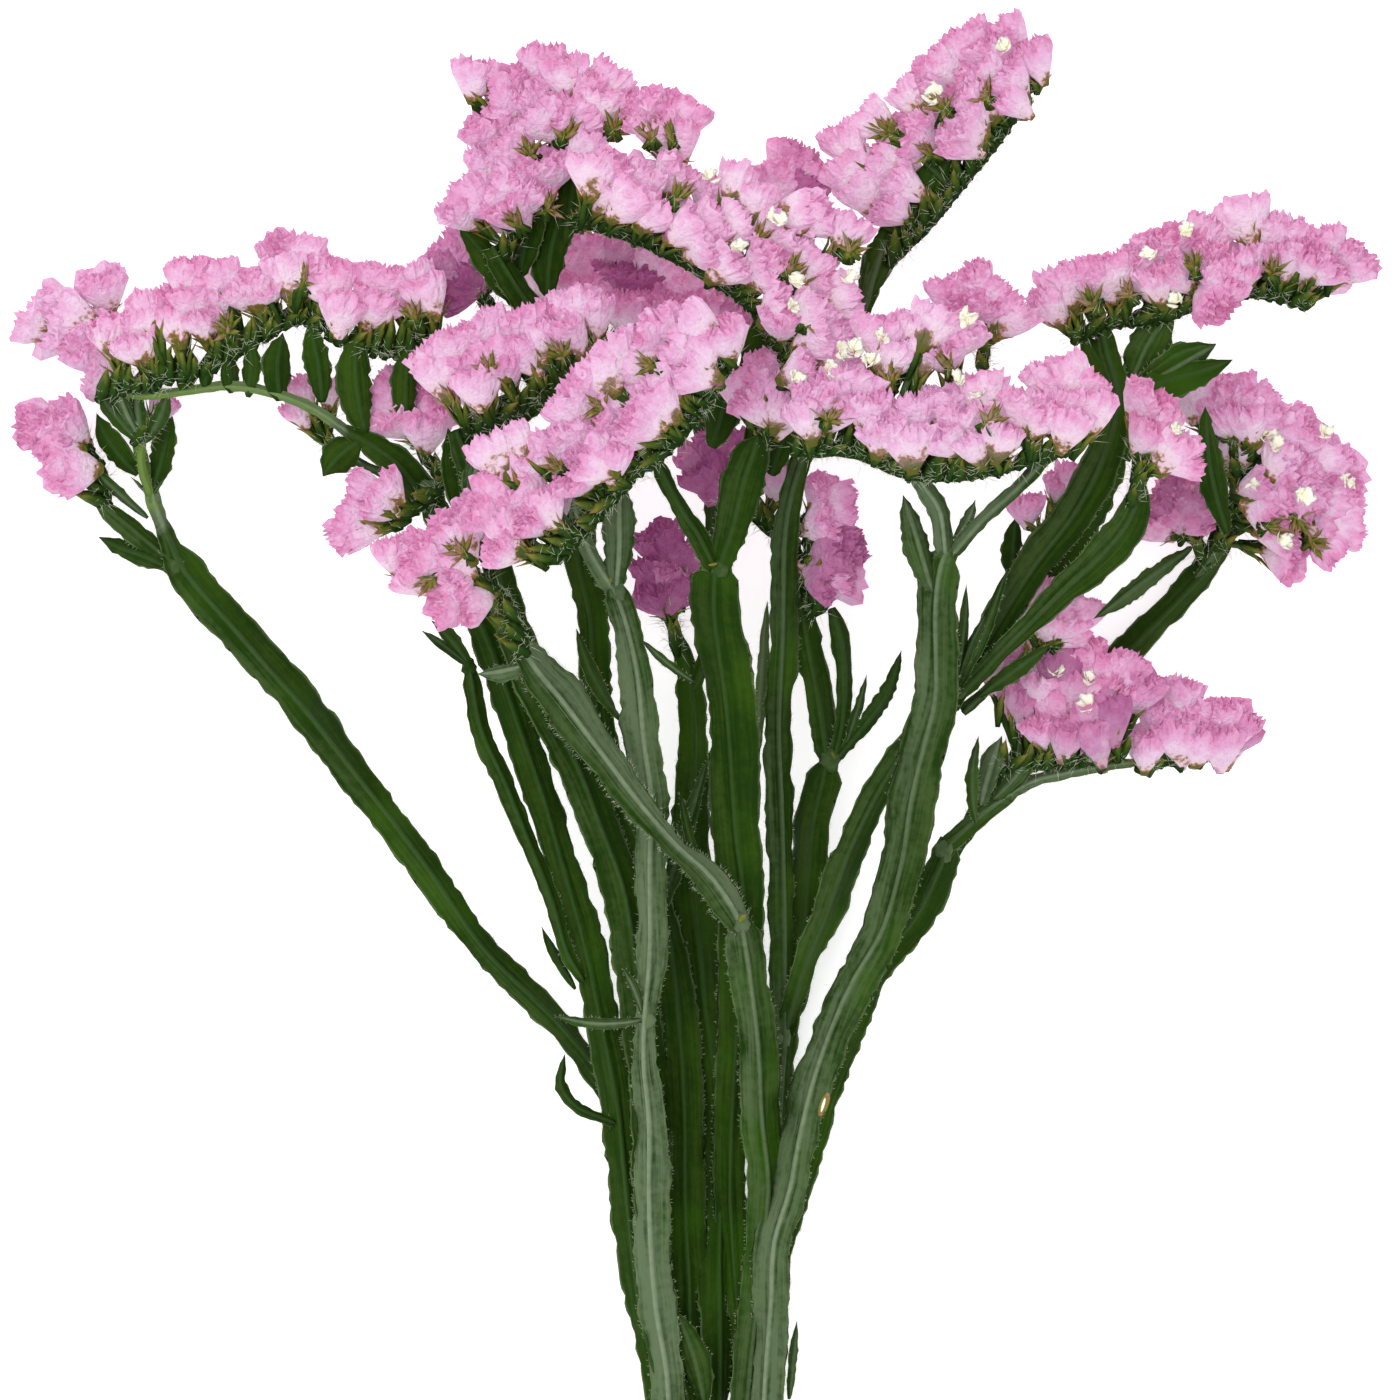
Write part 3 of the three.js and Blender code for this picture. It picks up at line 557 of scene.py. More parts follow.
branches = {
    "branch_far_left": [(-131, 208, 12.5, 4), (-137, 213, 12.5, 5), (-144, 219, 12.5, 5.4),
        (-152, 225.5, 12.2, 4)],
    "branch_thin_left": [(-29.5, 104, 17.6, 3), (-33.5, 111, 20.5, 3.5), (-37, 123, 23, 4),
        (-44, 141, 27.5, 4.5), (-49, 154, 30, 5), (-55, 167.5, 32, 5), (-58, 183, 33, 4.5)],
    "branch_arch": [(-69, 226, 39.4, 9), (-75.5, 234, 41, 8), (-83, 239.5, 41, 5.5), (-88.5, 242.5, 41, 3),
        (-97, 248, 40, 2.8), (-108, 252, 38, 2.6), (-119, 253.5, 35.5, 2.6), (-127.5, 252.5, 33, 2.5),
        (-136, 251.5, 30.5, 2.4), (-142, 251.5, 28.5, 2.2), (-149.5, 253.5, 26, 2)],
    "branch_front_left": [(-22, 203, 55.4, 4.5), (-27, 211, 60, 4), (-30, 218, 67, 3.5), (-32, 227, 76, 3.2)],
    "branch_crossing": [(10.5, 117.5, 36.6, 5.5), (7.5, 123.5, 39.6, 7.5), (2, 131, 42, 7.5),
        (-5.5, 137.75, 45, 5.2), (-14.75, 148.5, 48.5, 7), (-22.75, 159, 51.5, 9), (-33, 172.5, 55, 11),
        (-41, 182, 58, 8), (-45.5, 189, 61.5, 4.5)],
    "branch_broad_left": [(4, 207.5, 53.3, 5), (-0.5, 216, 58, 5), (-4, 221, 62, 4.5), (-8.5, 229, 68, 4),
        (-11, 234, 73, 3.5)],
    "branch_centre": [(4.5, 207.5, 53, 4.5), (9, 222, 51.6, 4), (13, 240, 50.4, 4), (17, 256, 50.4, 3.6),
        (21, 270, 53, 3.4), (23, 279, 57, 3)],
    "branch_back": [(-2.6, 177, 14.8, 4), (1, 186, 13.5, 4), (3, 205, 11, 4), (3, 225, 10, 3.6),
        (-1, 248, 10, 3.4), (-6, 270, 11, 3)],
    "branch_mid_right": [(21.5, 90, 10.5, 5), (25.5, 108, 11.2, 7.5), (28, 130, 14, 8.5), (29, 143, 16, 8.75),
        (32.5, 160.5, 19, 8.5)],
    "branch_mid_right_up": [(32, 159, 18.8, 5), (29, 176.5, 21.5, 6.75), (25.5, 196.5, 24, 6.75),
        (23, 210, 25.5, 6.5), (19.5, 221, 26.8, 5)],
    "branch_mid_right_side": [(33.5, 159, 19, 4), (35.5, 168, 20.5, 4), (36, 178, 22, 4), (35, 190, 24, 4),
        (33, 198, 26, 3.5)],
    "branch_long_right": [(21.5, 92, 11.8, 5), (26, 107, 16.8, 6), (30, 117.5, 20, 7), (37.5, 137.5, 26, 8),
        (48.75, 158.75, 33, 6), (58.75, 171.25, 38.5, 4.5), (68.5, 180, 42.5, 4.2), (78, 190, 46.5, 5),
        (90, 202, 51, 7), (99.5, 211, 54, 9.5), (106.75, 220, 57, 9), (109.5, 229, 59.5, 5)],
    "branch_upper_right": [(62, 172, 39.5, 4), (71, 187, 39.5, 6), (82.75, 206.5, 43, 9),
        (94.75, 223, 46.5, 10), (102, 237.5, 49, 8.5), (105, 250, 50, 6), (102, 262, 51, 5.5),
        (100.5, 269, 51, 5)],
    "branch_spike_left": [(61.2, 210.5, 61, 4.5), (59.5, 222, 66.5, 5), (55, 229, 71, 4.5),
        (51, 237, 75, 3.5)],
    "branch_spike_right": [(62.5, 210.5, 61, 3.5), (70.75, 220, 66, 3.5), (78, 226.5, 70, 3.5),
        (89, 238, 75.5, 3.5)],
    "branch_right_low": [(61.5, 138, 20, 5), (71.5, 146.5, 20, 4.5), (82.5, 154, 20, 3.5), (94, 157, 20, 3),
        (105, 158.75, 18, 2.6), (112, 159.5, 17, 2.4)],
    "branch_right_cluster": [(62, 134.5, 18.6, 4), (68, 143, 14, 5), (75, 152.5, 10.5, 6),
        (90, 168.75, 6.5, 7), (110.75, 190, 5, 7.5), (128, 208, 7, 6.5), (134, 215.5, 10, 4)],
}
leaves = {
    "leaf_far_left": [(-133, 208, 12.2, 3), (-141, 211.5, 12, 5.5), (-147, 213.5, 12, 4),
        (-152, 216.25, 12.5, 1)],
    "leaf_centre": [(4.5, 207, 53.2, 5.5), (8, 217, 58, 9), (11, 229, 60.5, 11), (13.5, 237, 62, 8),
        (14.5, 241, 62.5, 3)],
    "leaf_front_left": [(-21, 202, 55.2, 3), (-20, 213, 59.5, 7.5), (-20, 222, 62, 8), (-20, 230, 63, 3)],
    "leaf_curl": [(-21.5, 68, 12, 2.5), (-31.5, 72.5, 12.5, 3), (-35.2, 77.75, 13, 3),
        (-34.2, 85.5, 13.5, 1)],
    "leaf_fork": [(34.5, 160, 19.4, 2.5), (42, 169, 21, 4), (47, 176, 22, 4), (50.75, 187.5, 22.5, 1)],
    "leaf_upper_right": [(103.5, 249, 50, 4), (114, 254, 49, 8), (124, 257, 48.5, 7), (133, 260, 48.5, 1.2)],
}
# how each stem, branch and leaf lies: its tone (dark 0, grey 1, lime 2; a list of pairs is spread along it),
# its roll in radians and how much greyer its left wing is than its right, which is painted light on one wing
# and painted shade on the other
manners = {
    "usual": (0.15, 0.15, 0.1),
    "stem_far_left": ([(0, 0.1), (0.91, 0.2), (0.93, 1.5), (1, 2.0)], 0.25),
    "stem_dark_left": (0.05, -0.2), "stem_wavy_left": (0.18, 0.3), "stem_back_left": (0.08, 0.1),
    "stem_front_left": ([(0, 0.9), (0.55, 0.8), (0.7, 0.62), (1, 0.5)], -0.25),
    "stem_centre": ([(0, 0.2), (0.6, 0.3), (1, 0.45)], 0.2),
    "stem_broad": ([(0, 0.2), (0.5, 0.06), (1, 0.12)], -0.15), "stem_back": (0.05, 0.2),
    "stem_mid_right": (0.3, 0.3), "stem_right_low": (0.2, 0.2),
    "stem_front_right": ([(0, 0.78), (0.4, 0.62), (0.7, 0.35), (1, 0.45)], -0.3),
    "branch_crossing": (0.68, 0.3, -0.36), "branch_long_right": (0.2, 0.3), "branch_upper_right": (0.2, -0.3),
    "branch_mid_right": (0.08, -0.3), "branch_front_left": (0.75, 0.0), "branch_spike_left": (0.6, 0.0),
    "branch_spike_right": (0.5, 0.0), "branch_right_cluster": (0.08, 0.2), "branch_far_left": (0.2, 0.0),
    "branch_right_low": ([(0, 0.25), (0.3, 0.4), (0.6, 1.2), (1, 1.6)], 0.0),
    "branch_arch": ([(0, 0.1), (0.27, 0.15), (0.33, 1.4), (1, 1.8)], 0.0), "leaf_front_left": (0.6, 0.0),
}
ribbon = {
    "spacing": 1.9, "leafSpacing": 1.2, "wing": 0.36, "edge": 0.1, "ribHalf": 1.1, "ribShare": 0.55,
    "ribPower": 0.7, "wave": 1.0, "waveLength": 19, "sway": 0.06, "swayLength": 40, "nick": 0.38,
    "leafNick": 0.55, "fold": 0.3, "taper": 3.0, "taperPower": 0.6, "twist": 0.32, "twistLength": 90,
    "rollScale": 1.6, "lopsided": 0.26, "lopsidedLength": 150, "foreshort": 0.55,
    "stemCore": 3.0, "branchCore": 2.1, "leafCore": 0.9, "seed": 100, "seedStep": 40,
    "hairGap": 1.25, "hairLength": 0.95, "hairThickness": 0.11, "hairiness": {"branch_crossing": 2.5},
    "hairLean": ([-0.2, 0.6, -0.4], [0.8, 1.0, 0.5]),
}
# how the far end closes: its taper in shares of the last width, its least width, whether the start tapers too
endings = {"cut": (0.35, 0.6, False), "blunt": (0.6, 0.4, True), "pointed": (0.9, 0.02, True)}
# places round a ribbon: 0 is the ridge of the rib, 1 its foot and 2 the margin, left ones positive
topSteps = np.array([2, 1.8, 1.45, 1.15, 1, 0.75, 0.4, 0])
topSteps = np.concatenate([topSteps, -topSteps[-2::-1]])
ribbonSteps = np.concatenate([topSteps, [-1.6, -1.0, -0.4, 0.4, 1.0, 1.6]])


def addRibbon(piece, points, core, seed, tone, roll=0.0, lean=0.0, hairs=1.0, spacing=ribbon["spacing"],
              ending="pointed"):
    # rings across a route: a rib, (1 + cos(pi c)) / 2 to the power 0.7, between two thin wings whose
    # margins sway, wave up and down and are nicked at random; the wings droop by fold times width
    line, travelled = smoothRoute(points, spacing)
    twist = ribbon["twist"] * slowNoise(travelled, ribbon["twistLength"], seed + 30)
    roll = roll * ribbon["rollScale"] + twist
    tangent, across, upward = routeFrames(line, roll)
    random = np.random.default_rng(seed)
    taper, least, taperedStart = endings[ending]
    far = (travelled[-1] - travelled) / max(ribbon["taper"], taper * line[-1, 3])
    half = line[:, 3] / 2 * np.clip(far, least, 1) ** ribbon["taperPower"]
    if taperedStart:
        half = half * np.sqrt(np.clip(travelled / ribbon["taper"] + 0.5, 0, 1))
    side, step = np.sign(ribbonSteps), np.abs(ribbonSteps)[None]
    share = np.minimum(ribbon["ribHalf"] / np.maximum(half, 0.3), ribbon["ribShare"])[:, None]
    reach = np.where(step < 1, step * share, share + (step - 1) * (1 - share))
    lopsided = ribbon["lopsided"] * slowNoise(travelled, ribbon["lopsidedLength"], seed + 40)
    nickSize = ribbon["nick" if core > 1 else "leafNick"]
    margins = []
    for number, way in ((0, 1), (1, -1)):
        seen = np.maximum(np.cos(roll) + way * ribbon["fold"] * np.sin(roll), ribbon["foreshort"])
        sway = (1 + way * lopsided) / seen
        sway = sway + ribbon["sway"] * slowNoise(travelled, ribbon["swayLength"], seed + number)
        nick = nickSize * random.uniform(-1, 1, len(line)) * np.minimum(half / 3, 1)
        wave = ribbon["wave"] * slowNoise(travelled, ribbon["waveLength"], seed + 20 + number)
        margins.append((half * sway, nick, wave * np.minimum(half / 4, 1)))
    width, nick, wave = (np.where(side >= 0, left[:, None], right[:, None]) for left, right in zip(*margins))
    width = width + nick * (reach > 0.9)
    bump = np.where(step < 1, (0.5 + 0.5 * np.cos(np.pi * np.minimum(step, 1))) ** ribbon["ribPower"], 0)
    skin = ribbon["edge"] + (ribbon["wing"] - ribbon["edge"]) * (1 - reach)
    skin = (skin + (core / 2 - ribbon["wing"]) * bump) * np.minimum(half / (core * 0.75), 1)[:, None]
    top = np.where(np.arange(len(ribbonSteps)) < len(topSteps), 1, -1)
    sideways = side * reach * width
    height = top * skin + wave * reach**2 - ribbon["fold"] * half[:, None] * reach
    rings = line[:, None, :3] + across[:, None] * sideways[..., None] + upward[:, None] * height[..., None]
    if not np.isscalar(tone):
        tone = np.interp(travelled / travelled[-1], *zip(*tone))[:, None]
    # painted light on one wing and painted shade on the other: lean lifts the tone of the left wing and
    # lowers the right's
    tone = tone + lean * side * np.minimum(reach * 2, 1)
    piece.add(rings[None], line[None, 0, :3], line[None, -1, :3], "green", along=travelled[:, None],
              across=side * reach, tone=tone, rib=bump)
    for column, outward in ((0, 1), (len(topSteps) - 1, -1)):
        count = max(2, int(travelled[-1] / ribbon["hairGap"] * hairs))
        where = np.sort(random.uniform(0, travelled[-1], count))
        slant = random.uniform(*ribbon["hairLean"], (count, 3)) * [1, outward, 1]
        frames = [sample(part, travelled, where) for part in (tangent, across, upward)]
        direction = unit(sum(part * slant[:, k, None] for k, part in enumerate(frames)))
        length = ribbon["hairLength"] * random.uniform(0.4, 1.2, count) * max(1, hairs * 0.7)
        bases = sample(rings[:, column], travelled, where)
        addSpikes(piece, bases, direction, length, ribbon["hairThickness"])


def makeGreens():
    seed = ribbon["seed"]
    kinds = [(stems, "stemCore", "stem", "spacing", "cut"),
             (branches, "branchCore", "stem", "spacing", "blunt"),
             (leaves, "leafCore", "leaf", "leafSpacing", "pointed")]
    for routes, core, slot, spacing, ending in kinds:
        for name, points in routes.items():
            tone, roll, lean = (*manners.get(name, manners["usual"]), manners["usual"][2])[:3]
            piece = Piece(name + "_ribbon")
            addRibbon(piece, points, ribbon[core], seed, tone, roll, lean, ribbon["hairiness"].get(name, 1.0),
                      ribbon[spacing], ending)
            piece.finish(slot, name)
            seed += ribbon["seedStep"]


# small leaves, wing tips and spines: base, tip, width, tone
smallLeaves = [
    ((-58, 183.5, 33), (-70, 192.5, 34), 2.5, 0.3), ((-58, 184, 33), (-67.5, 195, 35), 4, 0.2),
    ((-31.5, 102, 17), (-40, 118, 18), 2.6, 0.2), ((-14, 94.5, 28), (-36.5, 95.5, 28), 2.8, 0.5),
    ((-14.5, 96, 28.5), (-19.5, 108, 30), 2.2, 0.4), ((-1.5, 179.5, 44), (-15, 190.5, 47), 2.2, 0.4),
    ((-43, 184, 58.5), (-55.5, 181.5, 60), 4.5, 0.6), ((58, 202, 57.5), (50.5, 226, 60), 6.5, 0.45),
    ((63, 215, 60), (68.5, 225, 60), 3, 0.5), ((64, 179, 46), (66.5, 204, 49), 3, 0.3),
    ((64.5, 179, 46), (72, 197, 49), 2.6, 0.3), ((65, 178, 46), (77, 208, 50), 3, 0.25),
    ((69.5, 144, 22), (70, 166, 30), 3.2, 0.3), ((22.5, -2, 7), (24.5, 18, 9), 2.4, 0.3),
    ((36.5, 163, 19.5), (42, 181.5, 22), 2.4, 0.3), ((14, 159, 18), (17, 200, 22), 3.4, 1.4),
    ((-142, 232, 12.5), (-152.5, 247.5, 12.5), 6, 0.15), ((-138.5, 227, 13), (-133.5, 248, 14), 6, 0.15),
    ((-139.5, 221, 13), (-155, 235.5, 13), 3, 0.35), ((-140, 227, 13.5), (-144, 231.5, 15), 1, 0.4),
    ((-138.5, 226.5, 13.5), (-134.5, 231.5, 15), 1, 0.4), ((-42, 272, 45), (-60.5, 294, 46), 8, 0.1),
    ((41, 275, 44.5), (49, 297, 44), 8.5, 0.12), ((107, 252, 48), (118, 273, 49), 11, 0.3),
    ((108, 252, 47), (129, 264, 48), 9, 0.35), ((107, 251, 46), (93.5, 269, 49), 5.5, 0.1),
    ((-38, 276, 44), (-33, 300, 46), 9, 0.05), ((-45, 281, 44), (-40, 302, 46), 8, 0.08),
    ((1, -3, 8), (-6.5, 21, 11), 7.5, 0.25), ((49.5, 291, 45), (61.5, 316, 45), 8.5, 0.1),
    ((58.5, 303, 45), (69, 324, 45), 6, 0.15), ((3, 238, 50), (8, 257, 52), 9, 0.05),
    ((18, 231, 50), (24, 249, 52), 8, 0.05), ((71, 148.5, 21), (76, 166, 24), 5.5, 0.6),
    ((74, 150, 21), (84, 164, 24), 5, 0.4), ((-34, 289, 45), (-31, 311, 47), 8, 0.1),
    ((-53, 316, 44), (-58, 326, 44), 3, 0.1), ((-47, 315, 44), (-54, 318.5, 44), 2.4, 0.1),
    ((125, 206, 9), (136, 226, 14), 3.4, 0.3), ((124, 213.5, 16), (98.5, 195.3, 40), 4.4, 0.3),
    ((2, 128, 31), (-5, 152, 33), 2.6, 0.2), ((-11, 119, 22), (2, 160, 26), 4.6, 0.3),
    ((-60, 220, 44), (-63, 243, 47), 8, 0.05), ((-57, 222, 56), (-55, 240, 58), 6, 0.5),
    ((-50, 212, 44), (-52, 236, 46), 7, 0.1), ((-20, 170, 40), (-31, 193, 42), 3.6, 0.2),
    ((70, 176, 40), (88, 189, 38), 4.5, 0.2), ((-141.5, 240, 20), (-152, 253.5, 26), 4.6, 0.3),
    ((-141, 241, 20), (-146.5, 256.5, 28), 4.2, 0.5), ((-140.5, 241, 20), (-140.5, 256.5, 29), 4.4, 0.35),
    ((-140, 240, 20), (-133.5, 253.5, 30), 4, 0.3), ((78.3, 205, 30), (79.4, 221.5, 34), 5, 0.15),
    ((85.3, 210.8, 28), (94.4, 227, 32), 8, 0.05), ((86, 203, 28), (107.5, 242, 34), 9, 0.08),
    ((-59, 239.5, 50), (-35, 252.5, 50), 9, 0.05), ((12, 250, 55), (15, 272, 57), 8, 0.08),
    ((132.5, 217, 26), (126.5, 248.5, 40), 7, 0.15),
]
# leafy wings of the arch's short stalks
archWings = [
    ((-105, 250, 38), (-104.5, 267, 40), 7.6, 0.08), ((-113.5, 251, 36), (-113, 266, 39), 5, 0.1),
    ((-117.5, 252, 35), (-118.5, 262, 37), 4.8, 0.1), ((-129, 252, 32), (-128.5, 265, 35), 6.2, 0.1),
    ((-137.5, 251.5, 30), (-138, 263, 32), 5, 0.12), ((-94.5, 249.5, 40), (-98, 270, 42), 6.8, 0.08),
    ((-83.5, 242, 41), (-86, 269, 44), 8.8, 0.1), ((-73, 243, 41), (-71.5, 268, 44), 6.4, 0.1),
    ((-85, 240, 40), (-94.5, 231, 39), 9, 0.1), ((-124, 253, 34), (-123, 263, 36), 4, 0.1),
]
# knuckles where stems fork: place, half width, tone
knuckles = [
    ((-13.2, 94.5, 27.6), 2.0, 1.1), ((10.4, 119, 37.8), 2.1, 0.6), ((5, 208, 53.4), 2.2, 0.5),
    ((21, 90, 10.8), 2.2, 0.7), ((33, 160, 19), 2.6, 0.4), ((61.5, 211, 60.8), 2.2, 0.5),
    ((-132.5, 209, 12.4), 2.0, 0.4), ((-138, 226, 13), 1.5, 0.9), ((-45, 188.5, 61), 2.0, 0.6),
    ((-20.5, 202, 55.2), 2.0, 0.6), ((61.5, 137, 20), 2.4, 0.6), ((20.5, 219, 26.6), 2.0, 0.5),
    ((-68.5, 228, 39.5), 2.2, 0.6), ((64.5, 177.5, 41), 2.2, 0.4), ((-58, 183.4, 32.8), 1.9, 0.3),
]
leafling = {
    "seed": 7, "ribbonSeed": 3000, "core": 0.8, "spacing": 1.3, "roll": 0.5, "bow": 0.07, "rise": 0.05,
    "share": [0, 0.25, 0.55, 0.82, 1], "width": [0.35, 0.85, 1.0, 0.6, 0.12],
    "hairyAbove": 8.6, "hairiness": 2.2,
}


def leafRoute(base, tip, width, random):
    # five points from base to tip, bowed a little to one side and upwards by sin(pi share)
    base, tip = np.array(base, float), np.array(tip, float)
    share = np.array(leafling["share"])[:, None]
    aside = np.cross(unit(tip - base), [0, 0, 1.0])
    bow = aside * random.uniform(-leafling["bow"], leafling["bow"]) + [0, 0, leafling["rise"]]
    line = base + (tip - base) * share + np.sin(np.pi * share) * bow * np.linalg.norm(tip - base)
    return np.c_[line, width * np.array(leafling["width"])]


def makeSmallLeaves():
    random = np.random.default_rng(leafling["seed"])
    for name, rows in (("small_leaves", smallLeaves), ("arch_stalk_wings", archWings)):
        piece = Piece(name)
        for number, (base, tip, width, tone) in enumerate(rows):
            route = leafRoute(base, tip, width, random)
            roll = random.uniform(-leafling["roll"], leafling["roll"])
            hairs = leafling["hairiness"] if width > leafling["hairyAbove"] else 1.0
            seed = leafling["ribbonSeed"] + ribbon["seedStep"] * number
            addRibbon(piece, route, leafling["core"], seed, tone, roll, 0.0, hairs, leafling["spacing"])
        piece.finish("leaf")


knuckle = {
    "rows": 7, "columns": 14, "cap": 0.25, "swell": (0.12, 0.06), "long": 1.25, "flat": 0.62, "pole": 0.66,
}


def makeKnuckles():
    # squashed balls: radius sin(v), height cos(v), swollen by low waves round the turn
    piece = Piece("stem_knuckles")
    v = np.linspace(knuckle["cap"], math.pi - knuckle["cap"], knuckle["rows"])[:, None]
    turn = turns(knuckle["columns"])
    for number, (spot, half, tone) in enumerate(knuckles):
        swell = 1 + knuckle["swell"][0] * np.cos(3 * turn + number) + knuckle["swell"][1] * np.cos(7 * turn)
        x = np.sin(v) * np.cos(turn) * swell
        y = np.sin(v) * np.sin(turn) * swell * knuckle["long"]
        z = -np.cos(v) * np.ones_like(turn) * knuckle["flat"]
        rings = np.array(spot) + half * np.stack([x, y, z], -1)
        pole = np.array([[0, 0, knuckle["pole"] * half]])
        piece.add(rings[None], spot - pole, spot + pole, "green", across=0.4, tone=tone)
    piece.finish("stem")


# scars: place, half length, half width, the way along in degrees, slope across, finish and share along it
scars = [
    ((31.2, 73.2, 25.2), 3.2, 1.15, 70, 0.3, "bract", 0.9),
    ((31.0, 73.1, 25.5), 1.9, 0.38, 74, 0.3, "corolla", 1.0),
    ((10.6, 120.3, 38.95), 1.3, 0.7, 50, 0.0, "bract", 0.8),
    ((3.2, 208.8, 55.4), 1.2, 0.4, 10, 0.0, "bract", 0.85),
    ((-22.6, 204.6, 56.6), 1.1, 0.6, 60, -0.6, "bract", 0.85),
    ((33.6, 161, 20.5), 1.1, 0.5, 120, 0.0, "bract", 0.65),
]
scarShell = {"rows": 6, "columns": 10, "cap": 0.3, "height": 0.45}


def makeScars():
    # flat lozenges on the skin: length -cos(v), width sin(v) cos(turn), height sin(v) sin(turn), then sloped
    piece = Piece("stem_scars")
    v = np.linspace(scarShell["cap"], math.pi - scarShell["cap"], scarShell["rows"])[:, None]
    turn = turns(scarShell["columns"])
    for spot, length, width, degrees, slope, finish, along in scars:
        x, y = math.cos(math.radians(degrees)), math.sin(math.radians(degrees))
        way, aside = np.array([x, y, slope * x]), np.array([-y, x, -slope * y])
        rings = spot - (np.cos(v) * length * np.ones_like(turn))[..., None] * way
        rings = rings + (np.sin(v) * np.cos(turn) * width)[..., None] * aside
        rings = rings + (np.sin(v) * np.sin(turn) * scarShell["height"])[..., None] * [0, 0, 1.0]
        ends = [(spot + way * length * side)[None] for side in (-1, 1)]
        piece.add(rings[None], *ends, finish, along=along, tone=0.5)
    piece.finish("stem")


makeGreens()
makeSmallLeaves()
makeKnuckles()
makeScars()
print("stems and leaves made:", counted["triangles"], "triangles")
